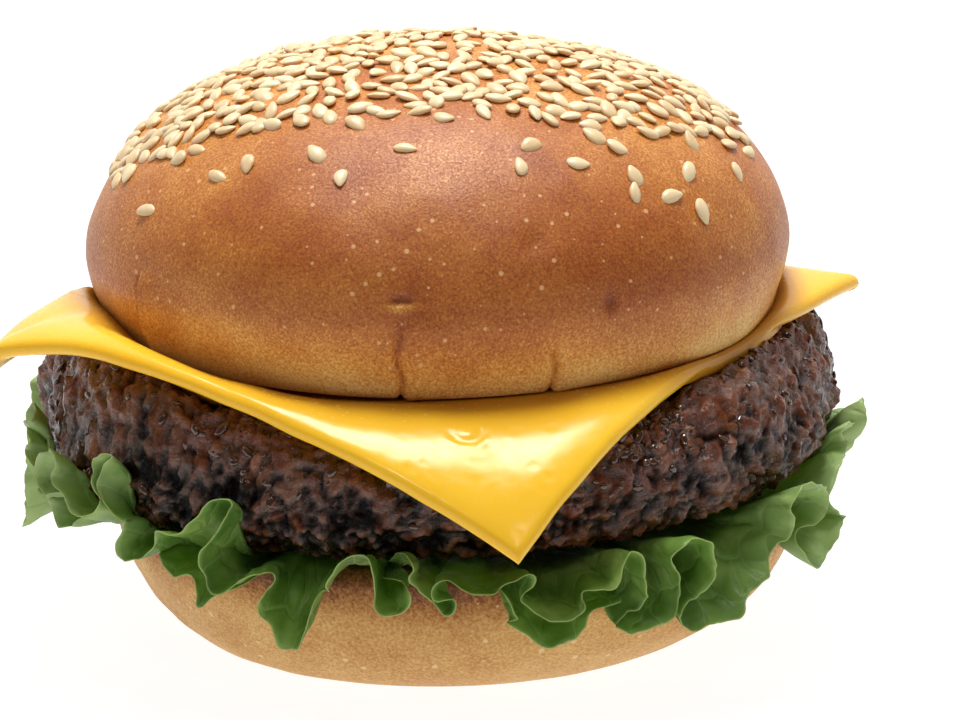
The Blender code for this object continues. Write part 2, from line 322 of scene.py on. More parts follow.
def bakedCrust(name, look):
    material, tree, shader = newMaterial(name)
    place = addNode(tree, "ShaderNodeTexCoord").outputs["Object"]
    # the stored tone holds the baked colour and painted shade
    bakeAndShade = addNode(tree, "ShaderNodeAttribute", attribute_name="bakeAndShade").outputs["Fac"]
    blotch = addNode(tree, "ShaderNodeTexNoise", {
        "Vector": place, "Scale": 1 / (8 * mm), "Detail": 5.0, "Roughness": 0.62,
    }).outputs["Fac"]
    grain = addNode(tree, "ShaderNodeTexNoise", {
        "Vector": place, "Scale": 1 / (look["grain"] * mm), "Detail": 3.0, "Roughness": 0.65,
    }).outputs["Fac"]
    blotched = addNode(tree, "ShaderNodeMath", {
        0: blotch, 1: 0.55, 2: bakeAndShade,
    }, operation="MULTIPLY_ADD").outputs[0]
    grained = addNode(tree, "ShaderNodeMath", {
        0: grain, 1: 1.1, 2: blotched,
    }, operation="MULTIPLY_ADD").outputs[0]
    toned = addNode(tree, "ShaderNodeMath", {0: grained, 1: 0.825}, operation="SUBTRACT").outputs[0]
    colour = addNode(tree, "ShaderNodeValToRGB", {"Fac": toned}, look["tones"]).outputs["Color"]
    dots = addNode(tree, "ShaderNodeTexVoronoi", {
        "Vector": place, "Scale": 1 / (look["fleckSpacing"] * mm), "Randomness": 1.0,
    }).outputs
    chance = addNode(tree, "ShaderNodeSeparateColor", {"Color": dots["Color"]}).outputs["Red"]
    edge = addNode(tree, "ShaderNodeMath", {
        0: chance, 1: -0.22, 2: dots["Distance"],
    }, operation="MULTIPLY_ADD").outputs[0]
    fleck = addNode(tree, "ShaderNodeMapRange", {
        "Value": edge, "From Min": -0.06, "From Max": 0.01, "To Min": 0.75, "To Max": 0.0,
    }).outputs[0]
    flecked = addNode(tree, "ShaderNodeMix", {
        0: fleck, 6: colour, 7: linearColour(look["fleck"]),
    }, data_type="RGBA").outputs[2]
    rough = addNode(tree, "ShaderNodeMapRange", {
        "Value": grain, "From Min": 0.3, "From Max": 0.7,
        "To Min": look["roughness"] - 0.1, "To Max": look["roughness"] + 0.16,
    }).outputs[0]
    relief = addNode(tree, "ShaderNodeBump", {
        "Height": grain, "Strength": 0.5, "Distance": 0.16 * mm,
    }).outputs["Normal"]
    setShader(
        shader, Base_Color=flecked, Roughness=rough, Normal=relief, IOR=1.4,
        Subsurface_Weight=0.06, Subsurface_Radius=(1.2 * mm, 0.6 * mm, 0.3 * mm),
        Subsurface_Scale=1.0,
    )
    return material


# Heel: the flat bottom half of the bun, turned out from its foot to the cut face
heel = dict(
    height=stack["heelHeight"], radius=47.6, footRadius=25.5, shoulder=2.4,
    lean=2.6,  # its upper part lies this far along +X
)


def makeHeel(look):
    height, radius, foot, shoulder = look["height"], look["radius"], look["footRadius"], look["shoulder"]
    belly = quarter((foot, height - shoulder), (radius - foot, height - shoulder), -90, 0, 12)
    edge = quarter((radius - shoulder, height - shoulder), (shoulder, shoulder), 0, 90, 5)
    rings = [(foot * 0.8, 0.0), (foot * 0.97, 0.0)] + belly[1:] + edge[1:]
    rings += [(radius * share, height) for share in (0.93, 0.85, 0.6, 0.3)]
    piece = ringSolid("heelBun", rings, 110, 2)
    points = getPoints(piece)
    wall = smoothStep(points[:, 2], 0.3, 4) * smoothStep(height - points[:, 2], 0, 3)
    relief = 0.55 * bumps(points, 20, 3) + 0.16 * bumps(points, 6, 4) + 0.05 * bumps(points, 2.2, 5)
    crumb = 0.25 * bumps(points, 1.6, 6) * smoothStep(points[:, 2], height - 0.7, height - 0.1)
    points += getNormals(piece) * (relief * wall + crumb)[:, None]
    points[:, 0] += look["lean"] * smoothStep(2 * points[:, 2] / height)
    setPoints(piece, points)
    # palest on the foot and the bulge, painted darker up at the cut rim as the shade under the lettuce
    bakeAndShade = 0.32 + 0.55 * smoothStep(points[:, 2], 13, 20) + 0.1 * bumps(points, 15, 8)
    storeValue(piece, "bakeAndShade", bakeAndShade)
    return piece


heelPiece = makeHeel(heel)
dress(heelPiece, bakedCrust("pale baked crust", heelCrust), "bun_heel")
print("heel done:", len(heelPiece.data.polygons), "faces")


# The patty's rim stands above its middle on two sides; the slice bends over it
rim = dict(start=45.2, width=3.2, rises=((6.8, radians(201), 2.6), (3.4, radians(10), 1.5)))
cheese = dict(
    cells=180, side=89.0, turn=radians(12.5), centre=(-2.9, -9.4), edgeRound=1.15, blister=(29.2, -33.2),
    bendStart=44.5, bendEase=25.0, frontDroop=radians(79.5), droopFocus=3.4,
    droopHeading=radians(275),
    sideDroops=(radians(4), radians(9)),
    tipStart=55.0, tipCurl=0.022,  # the left corner bends down on its own
    backSag=0.3,  # and more so along its far edge
)


def rimRise(radius, direction):
    climb = smoothStep((radius - rim["start"]) / rim["width"])
    fromBehind = smoothStep(turnedBy(direction, 180), radians(-32), radians(-4))
    climb = climb * np.where(np.cos(direction) < 0, 0.3 + 0.7 * fromBehind, 1.0)
    # on the front left it stays low beside the crown and rises only towards the slice's edge
    frontLeft = smoothStep(turnedBy(direction, 200), 0, radians(20))
    frontLeft *= 1 - smoothStep(turnedBy(direction, 270), radians(-15), radians(0))
    climb = climb * (1 + frontLeft * (0.65 * smoothStep(radius, 47, 54) - 0.42))
    return climb * sum(
        height * np.maximum(0.0, np.cos(direction - heading)) ** focus
        for height, heading, focus in rim["rises"]
    )


def sliceDroop(direction):
    front = np.maximum(0.0, np.cos(direction - cheese["droopHeading"])) ** cheese["droopFocus"]
    side = np.where(np.cos(direction) < 0, *cheese["sideDroops"])
    return cheese["frontDroop"] * front + side * np.cos(direction) ** 2


def drape(reach, direction):  # where a point of the flat slice comes to lie: radius and height
    droop = sliceDroop(direction)
    over = np.maximum(0.0, reach - cheese["bendStart"])
    radius = np.minimum(reach, cheese["bendStart"])
    left = np.maximum(0.0, -np.cos(direction))
    drop = left * cheese["tipCurl"] * np.maximum(0.0, reach - cheese["tipStart"]) ** 2
    behind = 1 - smoothStep(turnedBy(direction, 197), 0, radians(9))
    drop = drop + cheese["backSag"] * np.maximum(0.0, reach - 50) * behind * (np.cos(direction) < -0.5)
    steps = 12
    for step in range(steps):
        slope = droop * (1 - np.exp(-(step + 0.5) / steps * over / cheese["bendEase"]))
        radius = radius + np.cos(slope) * over / steps
        drop = drop + np.sin(slope) * over / steps
    return radius, rimRise(reach, direction) - drop


def underSlice(radius, direction, gap):  # height, over the slice's middle, to stay below
    reach = radius.copy()
    for _ in range(8):
        reach += radius - drape(reach, direction)[0]
    over = np.maximum(0.0, reach - cheese["bendStart"])
    slope = sliceDroop(direction) * (1 - np.exp(-over / cheese["bendEase"]))
    return drape(reach, direction)[1] - stack["sliceThickness"] / 2 / np.cos(slope) - gap


# Patty: coarse ground beef pressed into a thick disc and seared, so lumps stand out from
# crevices all round its side
patty = dict(
    radius=54.7, offset=-0.3, height=stack["pattyHeight"], lowerRound=7.0, upperRound=9.0,
    lump=3.4, lumpDepth=0.55, grain=1.35, grainDepth=0.42, cragDepth=0.55,
)


def makePatty(look):
    radius, height = look["radius"], look["height"]
    low, high = look["lowerRound"], look["upperRound"]
    rings = [(radius - 14, 0.0), (radius - 10, 0.0)]
    rings += quarter((radius - low, low), (low, low), -90, 0, 8)
    rings += quarter((radius - high, height - high), (high, high), 0, 90, 9)
    rings += [(radius - 12, height), (radius - 15, height), (radius - 22, height)]
    piece = ringSolid("beefPatty", rings, 180, 2)
    points = getPoints(piece)
    side = smoothStep(np.hypot(points[:, 0], points[:, 1]), radius - 17, radius - 9)
    warp = sum(
        np.stack([bumps(points, size, seed + k) for k in range(3)], axis=1) * share
        for size, seed, share in ((5.0, 30, 2.2), (2.0, 34, 0.8))
    )
    near, far, tone = grains(points + warp, look["lump"], 11)
    lump = smoothStep(far - near, 0.0, 0.45) * (1 - 0.5 * near**2) - 0.58 + 0.5 * (tone - 0.5)
    near2, far2, tone2 = grains(points + 0.5 * warp, look["grain"], 21)
    grain = smoothStep(far2 - near2, 0.0, 0.6) * (1 - 0.4 * near2**2) - 0.5 + 0.6 * (tone2 - 0.5)
    swell = 1.1 * bumps(points, 13, 41) + 0.6 * bumps(points, 6, 42)
    craggy = 0.45 - 1.3 * abs(bumps(points, 3.1, 43)) + 0.4 - 0.9 * abs(bumps(points, 1.5, 44))
    relief = (
        look["lumpDepth"] * lump + look["grainDepth"] * grain + look["cragDepth"] * craggy
        + swell * smoothStep(points[:, 2], 0, 5)
    )
    # painted shade: darker in the crevices between the lumps
    paintedHollowShade = 0.5 - 0.3 * lump - 0.25 * grain - 0.3 * craggy
    # painted shade: blackest low down on the side left of the slice's corner, and less of it towards the
    # top
    heading = polar(points)[1]
    paintedShadeLowLeft = np.exp(-(turnedBy(heading, 250) / 0.55) ** 2) * smoothStep(14 - points[:, 2], 0, 8)
    paintedHollowShade += 0.08 + 0.18 * paintedShadeLowLeft - 0.25 * smoothStep(points[:, 2], 9, 16)
    points += getNormals(piece) * (relief * (0.25 + 0.75 * side))[:, None]
    points[:, 0] += look["offset"]
    distance, direction = polar(points)
    topShare = np.maximum(0.0, 2 * points[:, 2] / height - 1)
    points[:, 2] += topShare * rimRise(distance, direction)
    # nothing may stand up through the slice that lies on it
    middle = stack["sliceBase"] + stack["sliceThickness"] / 2 - stack["pattyBase"]
    shrunk = distance.copy()
    rim_ = np.flatnonzero((points[:, 2] > height * 0.4) & (distance > 46))
    for _ in range(30):
        roof = middle + underSlice(shrunk[rim_], direction[rim_], 0.15)
        above = (points[rim_, 2] > roof) & (shrunk[rim_] > 47)
        shrunk[rim_] -= np.where(above, 0.3, 0.0)
    points[:, :2] *= (shrunk / np.maximum(distance, 0.01))[:, None]
    points[:, 2] = np.minimum(points[:, 2], middle + underSlice(shrunk, direction, 0.15))
    points[:, 2] += stack["pattyBase"] - stack["crownBase"]
    setPoints(piece, leanPoints(points))
    storeValue(piece, "paintedHollowShade", np.clip(paintedHollowShade, 0, 1))
    storeValue(piece, "lumpTone", tone)
    return piece


# Seared ground beef: brown where the lumps stand proud, greyer fibres where it is torn, with painted
# shade nearly black in the crevices, and wet with fat, so small bright glints sit on a dull ground.
beefLook = dict(
    deep="080302", dark="2E170A", brown="8A5230", red="6A3018", fibre="947060",
    fibreWidth=0.45, fibreLength=5.0, glint=0.8,
)


def searedBeef(look):
    material, tree, shader = newMaterial("seared ground beef")
    place = addNode(tree, "ShaderNodeTexCoord").outputs["Object"]
    # the painted shade stored on the patty: crevices and the low left side
    paintedHollowShade = addNode(tree, "ShaderNodeAttribute", attribute_name="paintedHollowShade").outputs["Fac"]
    tone = addNode(tree, "ShaderNodeAttribute", attribute_name="lumpTone").outputs["Fac"]
    mottle = addNode(tree, "ShaderNodeTexNoise", {
        "Vector": place, "Scale": 1 / (2.4 * mm), "Detail": 6.0, "Roughness": 0.65,
    }).outputs["Fac"]
    shift = addNode(tree, "ShaderNodeMath", {
        0: mottle, 1: 1.2, 2: paintedHollowShade,
    }, operation="MULTIPLY_ADD").outputs[0]
    toned = addNode(tree, "ShaderNodeMath", {0: shift, 1: 0.6}, operation="SUBTRACT").outputs[0]
    proud = addNode(tree, "ShaderNodeMix", {
        0: tone, 6: linearColour(look["brown"]), 7: linearColour(look["red"]),
    }, data_type="RGBA").outputs[2]
    depth = addNode(tree, "ShaderNodeMapRange", {
        "Value": toned, "From Min": 0.2, "From Max": 0.85, "To Min": 0.0, "To Max": 1.0,
    }).outputs[0]
    ground = addNode(tree, "ShaderNodeMix", {
        0: depth, 6: proud, 7: linearColour(look["dark"]),
    }, data_type="RGBA").outputs[2]
    # fibres run up and down the side
    squeezed = addNode(tree, "ShaderNodeMapping", {
        "Vector": place,
        "Scale": (1 / (look["fibreWidth"] * mm), 1 / (look["fibreWidth"] * mm),
                  1 / (look["fibreLength"] * mm)),
    }).outputs["Vector"]
    strand = addNode(tree, "ShaderNodeTexNoise", {
        "Vector": squeezed, "Scale": 1.0, "Detail": 2.0, "Roughness": 0.5, "Distortion": 0.6,
    }).outputs["Fac"]
    torn = addNode(tree, "ShaderNodeTexNoise", {
        "Vector": place, "Scale": 1 / (11 * mm), "Detail": 2.0,
    }).outputs["Fac"]
    tornShare = addNode(tree, "ShaderNodeMapRange", {
        "Value": torn, "From Min": 0.5, "From Max": 0.66, "To Min": 0.0, "To Max": 1.0,
    }).outputs[0]
    strandShare = addNode(tree, "ShaderNodeMapRange", {
        "Value": strand, "From Min": 0.52, "From Max": 0.72, "To Min": 0.0, "To Max": 0.3,
    }).outputs[0]
    fibrous = addNode(tree, "ShaderNodeMath", {
        0: tornShare, 1: strandShare,
    }, operation="MULTIPLY").outputs[0]
    stranded = addNode(tree, "ShaderNodeMix", {
        0: fibrous, 6: ground, 7: linearColour(look["fibre"]),
    }, data_type="RGBA").outputs[2]
    # painted shade: the deepest crevices are painted nearly black
    pit = addNode(tree, "ShaderNodeMapRange", {
        "Value": paintedHollowShade, "From Min": 0.62, "From Max": 0.95, "To Min": 0.0, "To Max": 1.0,
    }).outputs[0]
    colour = addNode(tree, "ShaderNodeMix", {
        0: pit, 6: stranded, 7: linearColour(look["deep"]),
    }, data_type="RGBA").outputs[2]
    wet = addNode(tree, "ShaderNodeTexNoise", {
        "Vector": place, "Scale": 1 / (3.2 * mm), "Detail": 3.0, "Roughness": 0.6,
    }).outputs["Fac"]
    rough = addNode(tree, "ShaderNodeMapRange", {
        "Value": wet, "From Min": 0.5, "From Max": 0.66, "To Min": 0.12, "To Max": 0.5,
    }).outputs[0]
    fine = addNode(tree, "ShaderNodeTexNoise", {
        "Vector": place, "Scale": 1 / (look["glint"] * mm), "Detail": 4.0, "Roughness": 0.6,
    }).outputs["Fac"]
    relief = addNode(tree, "ShaderNodeBump", {
        "Height": fine, "Strength": 1.0, "Distance": 0.4 * mm,
    }).outputs["Normal"]
    film = addNode(tree, "ShaderNodeMapRange", {
        "Value": wet, "From Min": 0.5, "From Max": 0.66, "To Min": 0.9, "To Max": 0.1,
    }).outputs[0]
    open_ = addNode(tree, "ShaderNodeMapRange", {
        "Value": pit, "From Min": 0.0, "From Max": 1.0, "To Min": 1.0, "To Max": 0.15,
    }).outputs[0]
    shine = addNode(tree, "ShaderNodeMath", {0: film, 1: open_}, operation="MULTIPLY").outputs[0]
    setShader(
        shader, Base_Color=colour, Roughness=rough, Normal=relief, IOR=1.42,
        Specular_IOR_Level=shine,
    )
    return material


pattyPiece = makePatty(patty)
dress(pattyPiece, searedBeef(beefLook), "beef_patty")
print("patty done:", len(pattyPiece.data.polygons), "faces")


# Fat: small beads and streaks of clear fat that sit on the lumps
fat = dict(count=1500, width=(0.22, 0.62), depth=0.42, stretch=(1.0, 2.3), seed=31)


def makeFat(look):
    clearSelection()
    bpy.ops.mesh.primitive_ico_sphere_add(subdivisions=2, radius=1.0)
    model = bpy.context.object
    bpy.ops.object.mode_set(mode="EDIT")
    bpy.ops.mesh.select_all(action="SELECT")
    bpy.ops.transform.resize(value=(1, 1, look["depth"]), center_override=(0, 0, 0))
    bpy.ops.object.mode_set(mode="OBJECT")
    shape = getPoints(model) * mm
    faces = [tuple(face.vertices) for face in model.data.polygons]
    bpy.data.objects.remove(model)
    random = np.random.default_rng(look["seed"])
    ground = pattyPiece.data
    corners, normals = getPoints(pattyPiece), getNormals(pattyPiece)
    paintedHollowShade = np.empty(len(corners))
    ground.attributes["paintedHollowShade"].data.foreach_get("value", paintedHollowShade)
    level = uprightPoints(corners)[:, 2] + stack["crownBase"] - stack["pattyBase"]
    far = np.hypot(corners[:, 0], corners[:, 1])
    chance = smoothStep(level, 3, 13) * (far > 47) * (normals[:, 2] > -0.15) * (paintedHollowShade < 0.7)
    chance *= (0.25 + smoothStep(bumps(corners, 6, 91), -0.3, 0.5)) * (normals[:, 2] + 0.5)
    chosen = random.choice(len(corners), look["count"], replace=False, p=chance / chance.sum())
    clumps = []
    for index in chosen:
        up = Vector(normals[index]).normalized()
        along = up.orthogonal().normalized()
        along.rotate(Matrix.Rotation(random.uniform(-pi, pi), 3, up))
        across = up.cross(along)
        low, high = look["width"]
        size = low + (high - low) * random.random() ** 2.2
        bead = shape * random.uniform(0.85, 1.15, (len(shape), 1))
        turn = np.array([np.array(along) * random.uniform(*look["stretch"]), across, up])
        clumps.append(bead @ turn * size + corners[index])
    points = np.concatenate(clumps)
    allFaces = [
        tuple(corner + index * len(shape) for corner in face)
        for index in range(len(clumps)) for face in faces
    ]
    mesh = bpy.data.meshes.new("fatBeads")
    mesh.from_pydata([tuple(p * mm) for p in points], [], allFaces)
    piece = bpy.data.objects.new("fatBeads", mesh)
    bpy.context.scene.collection.objects.link(piece)
    mesh.shade_smooth()
    return piece


# Melted fat over brown meat: as dark as what it lies on, with a sharp gloss
def meltedFat():
    material, tree, shader = newMaterial("melted fat on beef")
    place = addNode(tree, "ShaderNodeTexCoord").outputs["Object"]
    cloud = addNode(tree, "ShaderNodeTexNoise", {
        "Vector": place, "Scale": 1 / (3 * mm), "Detail": 2.0,
    }).outputs["Fac"]
    colour = addNode(tree, "ShaderNodeMix", {
        0: cloud, 6: linearColour("1E0D06"), 7: linearColour("5A3018"),
    }, data_type="RGBA").outputs[2]
    setShader(shader, Base_Color=colour, Roughness=0.07, IOR=1.5, Specular_IOR_Level=0.9)
    return material


fatPiece = makeFat(fat)
dress(fatPiece, meltedFat(), None)
print("fat done:", len(fatPiece.data.polygons), "faces")


# Slice: a flat square of cheese draped over the patty, with soft rounded edges
def edgeSpaced(size, cells, edge, edgeCells):  # places across the slice, closer at its edges
    angles = [radians(12 + 78 * i / edgeCells) for i in range(edgeCells + 1)]
    near = [edge * (cos(radians(12)) - cos(a)) for a in angles]
    inner = np.linspace(near[-1], size / 2, cells // 2 - edgeCells + 1)[1:]
    half = np.array(near + list(inner))
    return np.concatenate([half - size / 2, (size / 2 - half)[::-1][1:]])


def makeSlice(look):
    cells = look["cells"]
    clearSelection()
    bpy.ops.mesh.primitive_grid_add(x_subdivisions=cells, y_subdivisions=cells, size=1.0)
    piece = bpy.context.object
    piece.name = piece.data.name = "cheeseSlice"
    flat = getPoints(piece) * mm
    column = np.rint((flat[:, 0] + 0.5) * cells).astype(int)
    row = np.rint((flat[:, 1] + 0.5) * cells).astype(int)
    places = edgeSpaced(look["side"], cells, look["edgeRound"], 6)
    u, v = places[column], places[row]
    turn = look["turn"] - pi / 4
    x = look["centre"][0] + u * cos(turn) - v * sin(turn)
    y = look["centre"][1] + u * sin(turn) + v * cos(turn)
    reach, direction = np.hypot(x, y), np.arctan2(y, x)
    radius, height = drape(reach, direction)
    outside = smoothStep(radius, 44, 50)
    plane = np.stack([u, v, np.zeros(len(u))], axis=1)
    height += outside * (0.3 * bumps(plane, 14, 51) + 0.12 * bumps(plane, 5, 52))
    inset = look["side"] / 2 - np.maximum(abs(u), abs(v))
    height -= 0.8 * outside * np.exp(-inset / 1.4)  # its cut edge turns down a little
    middle = fromPolar(radius, direction, height)
    middle[:, 2] += stack["sliceBase"] + stack["sliceThickness"] / 2 - stack["crownBase"]
    setPoints(piece, middle)
    normals = getNormals(piece)
    round_ = np.clip(1 - inset / look["edgeRound"], 0.0, cos(radians(12)))
    half = stack["sliceThickness"] / 2 * np.sqrt(1 - round_**2)
    applyModifier(piece, "SOLIDIFY", thickness=stack["sliceThickness"] * mm, offset=0.0)
    count = len(middle)
    side = np.sign(np.sum((getPoints(piece)[:count] - middle) * normals, axis=1))
    both = np.concatenate([
        middle + normals * (half * side)[:, None], middle - normals * (half * side)[:, None],
    ])
    # shallow pits and one blister on the hanging corner
    plane2 = np.concatenate([plane, plane])
    near, far, tone = grains(plane2 * np.array((1, 1, 0)), 2.2, 61)
    pitted = smoothStep(plane2[:, 0] - plane2[:, 1], 50, 66)
    pits = -0.12 * np.exp(-(near / 0.22) ** 2) * (tone > 0.45) * pitted
    pits += 0.02 * bumps(plane2, 1.6, 62) * pitted
    fromBlister = plane2[:, :2] - np.array(look["blister"])
    ring = np.hypot(fromBlister[:, 0], fromBlister[:, 1])
    open_ = smoothStep(fromBlister @ np.array((0.7, -0.7)) / np.maximum(ring, 0.01), -0.5, 0.3)
    pits += 0.15 * np.exp(-(ring / 1.4) ** 2) - 0.3 * np.exp(-(((ring - 1.9) / 0.4) ** 2)) * open_
    upper = np.concatenate([normals, normals])
    topSide = np.concatenate([side > 0, side < 0])
    both += upper * (pits * topSide)[:, None]
    setPoints(piece, leanPoints(both))
    reach, direction = np.tile(reach, 2), np.tile(direction, 2)
    # painted shadow of the crown on the slice: a share that fades out from the crown's foot, wider on
    # the left
    wide = 5.5 + 2.5 * np.maximum(0.0, -np.cos(direction))
    storeValue(piece, "underCrownShade", 1 - smoothStep((reach - 46.5) / wide))
    pick(piece)
    bpy.ops.object.shade_smooth()
    return piece


# Process cheese, cast in a thin block and cut: smooth and slightly waxy, light goes a little
# way into it, so thin edges glow and its shaded parts turn to orange. Next to the crown a darker orange
# is painted on as shadow.
# the last colour is the orange-brown of the painted shadow under the crown
cheeseLook = dict(colour="FDCB36", deep="F8B927", paintedShadow="B06A18", roughness=0.21)


def processCheese(look):
    material, tree, shader = newMaterial("process cheese")
    place = addNode(tree, "ShaderNodeTexCoord").outputs["Object"]
    cloud = addNode(tree, "ShaderNodeTexNoise", {
        "Vector": place, "Scale": 1 / (14 * mm), "Detail": 3.0, "Roughness": 0.5,
    }).outputs["Fac"]
    colour = addNode(tree, "ShaderNodeMix", {
        0: cloud, 6: linearColour(look["colour"]), 7: linearColour(look["deep"]),
    }, data_type="RGBA").outputs[2]
    # painted shadow: the colour turns orange-brown near the crown
    underCrownShade = addNode(tree, "ShaderNodeAttribute", attribute_name="underCrownShade").outputs["Fac"]
    paintedShadow = addNode(tree, "ShaderNodeMath", {0: underCrownShade, 1: 0.75}, operation="MULTIPLY").outputs[0]
    colour = addNode(tree, "ShaderNodeMix", {
        0: paintedShadow, 6: colour, 7: linearColour(look["paintedShadow"]),
    }, data_type="RGBA").outputs[2]
    fine = addNode(tree, "ShaderNodeTexNoise", {
        "Vector": place, "Scale": 1 / (0.9 * mm), "Detail": 3.0, "Roughness": 0.55,
    }).outputs["Fac"]
    rough = addNode(tree, "ShaderNodeMapRange", {
        "Value": fine, "From Min": 0.3, "From Max": 0.7,
        "To Min": look["roughness"] - 0.05, "To Max": look["roughness"] + 0.08,
    }).outputs[0]
    relief = addNode(tree, "ShaderNodeBump", {
        "Height": fine, "Strength": 0.12, "Distance": 0.1 * mm,
    }).outputs["Normal"]
    setShader(
        shader, Base_Color=colour, Roughness=rough, Normal=relief, IOR=1.37,
        Subsurface_Weight=0.15, Subsurface_Radius=(1.6 * mm, 0.8 * mm, 0.2 * mm),
        Subsurface_Scale=1.0,
    )
    return material


slicePiece = makeSlice(cheese)
dress(slicePiece, processCheese(cheeseLook), "cheese_slice")
print("slice done:", len(slicePiece.data.polygons), "faces")


# Crown: the domed top half of the bun
crown = dict(
    height=37.6, radius=48.75, offset=0.4, cutRadius=45.2, waist=10.3, fullness=2.1,
    lift=(1.5, 208),  # the patty's rim pushes its skirt up on this side
)


def groove(points, degrees, low, high, width, depth, step=0.0):
    # a crack that runs up the side, one lip of it standing out; and how much of one is here
    radius, direction = polar(points)
    height = points[:, 2]
    sway = bumps(points * (0, 0, 1), 3.0, 91)
    along = radius * turnedBy(direction, degrees) - 0.7 * sway
    length = smoothStep(height, low - 0.7, low) * (1 - smoothStep(height, high, high + 2.5))
    cut = np.exp(-(along / width) ** 2) * length
    lip = smoothStep(along, 0, 0.5) * np.exp(-np.maximum(0, along) / 3.0) * length
    return step * lip - depth * cut, cut


def spot(points, degrees, height, radius, size):  # 1 at a place on the side, fading around it
    centre = fromPolar(radius, radians(degrees), height)
    gap = (points - centre) / np.array(size)
    return np.exp(-np.sum(gap**2, axis=1))


def makeCrown(look):
    height, radius, cut, waist = look["height"], look["radius"], look["cutRadius"], look["waist"]
    skirt = quarter((cut, waist), (radius - cut, waist), -90, 0, 9, 1.35)
    dome = quarter((0, waist), (radius, height - waist), 0, 88, 20, look["fullness"])
    rings = [(cut - 6, 0.0), (cut - 1.6, 0.0)] + skirt + dome[1:]
    piece = ringSolid("crownBun", rings, 150, 2)
    points = getPoints(piece)
    wall = smoothStep(points[:, 2], 0.3, 4)
    relief = 0.7 * bumps(points, 24, 6) + 0.28 * bumps(points, 9, 7) + 0.07 * bumps(points, 3, 8)
    up = points[:, 2]
    cavity = spot(points, 265, 14.0, 48, (1.5, 3.0, 0.42))
    fringe = spot(points, 265, 13.1, 48, (1.8, 3.0, 0.55))
    ragged = 0.4 * bumps(points, 0.8, 12) * spot(points, 265, 13.3, 48, (2.4, 4.0, 1.2))
    cracks = [
        groove(points, 217, 1.0, 12.0, 0.5, 0.8, 1.3),
        groove(points, 264.5, -2.0, 10.0, 0.42, 0.6, 0.4),
        groove(points, 289, -2.0, 5.0, 0.42, 0.6, 0.35),
    ]
    marks = (
        sum(shift for shift, _ in cracks) - 0.8 * cavity + 0.3 * fringe + ragged
        - 0.5 * spot(points, 298, 11.5, 48, (1.0, 1.5, 1.4))
        - 0.35 * spot(points, 286, 20, 47, (2, 4, 1.5))
    )
    points += getNormals(piece) * (relief * wall + marks)[:, None]
    distance, direction = polar(points)
    rise, heading = look["lift"]
    skirtShare = smoothStep(distance, 30, 44) * np.maximum(0.0, 1 - up / (2 * waist))
    points[:, 2] += rise * skirtShare * np.maximum(0.0, np.cos(turnedBy(direction, heading))) ** 3
    # baked darkest in a band above the pale skirt, a little paler again under the seeds
    band = np.interp(up, [0, 2.5, 6, 12, 19, 27, 37.6], [0.3, 0.34, 0.48, 0.7, 0.66, 0.62, 0.58])
    paleSide = 0.3 * spot(points, 232, 0, 46, (20, 22, 8))
    paleSide += 0.14 * spot(points, 292, 0, 46, (16, 16, 6))
    leftSide = 0.2 * np.maximum(0.0, np.cos(turnedBy(direction, 190))) ** 2
    rightSide = 0.15 * np.maximum(0.0, np.cos(turnedBy(direction, 350))) ** 2
    bakeAndShade = band - paleSide - leftSide - rightSide + 0.12 * bumps(points, 13, 9)
    # painted shade: the hole, the cracks and, on the next line, the dent are made darker, as shade
    # inside them; the hole's torn fringe is paler
    bakeAndShade += 0.4 * cavity - 0.5 * fringe + 0.24 * sum(cut for _, cut in cracks)
    bakeAndShade += 0.25 * spot(points, 298, 11.5, 48, (1.0, 1.5, 1.4))
    points[:, 0] += look["offset"]
    points[:, 2] -= 0.25  # it sits down onto the slice
    setPoints(piece, leanPoints(points))
    storeValue(piece, "bakeAndShade", bakeAndShade)
    return piece


crownPiece = makeCrown(crown)
dress(crownPiece, bakedCrust("golden baked crust", crownCrust), "bun_crown")
print("crown done:", len(crownPiece.data.polygons), "faces")


# Sesame seeds, strewn on the top and thinning out down the sides
seeds = dict(
    length=3.45, width=2.05, depth=0.95, gap=1.95, seed=7, lieFlat=radians(9),
    # a few that fell further down the front: (heading in degrees, distance from the axis in mm)
    strays=[
        (254, 38.5), (247, 35.5), (266, 34), (275, 28.5), (215, 44.5), (228, 40), (233, 38),
        (289, 38), (293, 35), (301, 38.5), (302, 30.5), (309, 35), (312, 37.5), (319, 33.5),
        (310, 42.5), (308, 44), (315, 45), (322, 43.5), (330, 41), (320, 46.6), (335, 45),
    ],
)


def seedEdge(direction):  # how far out the dense seeds reach, in mm from the axis
    towardsFront = np.maximum(0.0, -np.sin(direction))
    return 43.5 - 17.0 * towardsFront**2 - 6.0 * np.maximum(0.0, np.sin(direction))


def modelSeed(look):
    # a ball flattened, drawn out to a blunt point at one end
    clearSelection()
    bpy.ops.mesh.primitive_uv_sphere_add(segments=10, ring_count=7, radius=1.0)
    piece = bpy.context.object
    bpy.ops.object.mode_set(mode="EDIT")
    bpy.ops.mesh.select_all(action="SELECT")
    bpy.ops.transform.rotate(value=pi / 2, orient_axis="Y", center_override=(0, 0, 0))
    bpy.ops.transform.resize(
        value=(look["length"] / 2, look["width"] / 2, look["depth"] / 2),
        center_override=(0, 0, 0),
    )
    bpy.ops.object.mode_set(mode="OBJECT")
    shape = getPoints(piece) * mm
    along = shape[:, 0] / (look["length"] / 2)
    shape[:, 1:] *= (1 - 0.32 * smoothStep(along, 0.0, 1.0) + 0.06 * (1 - along))[:, None]
    faces = [tuple(face.vertices) for face in piece.data.polygons]
    bpy.data.objects.remove(piece)
    return shape, faces


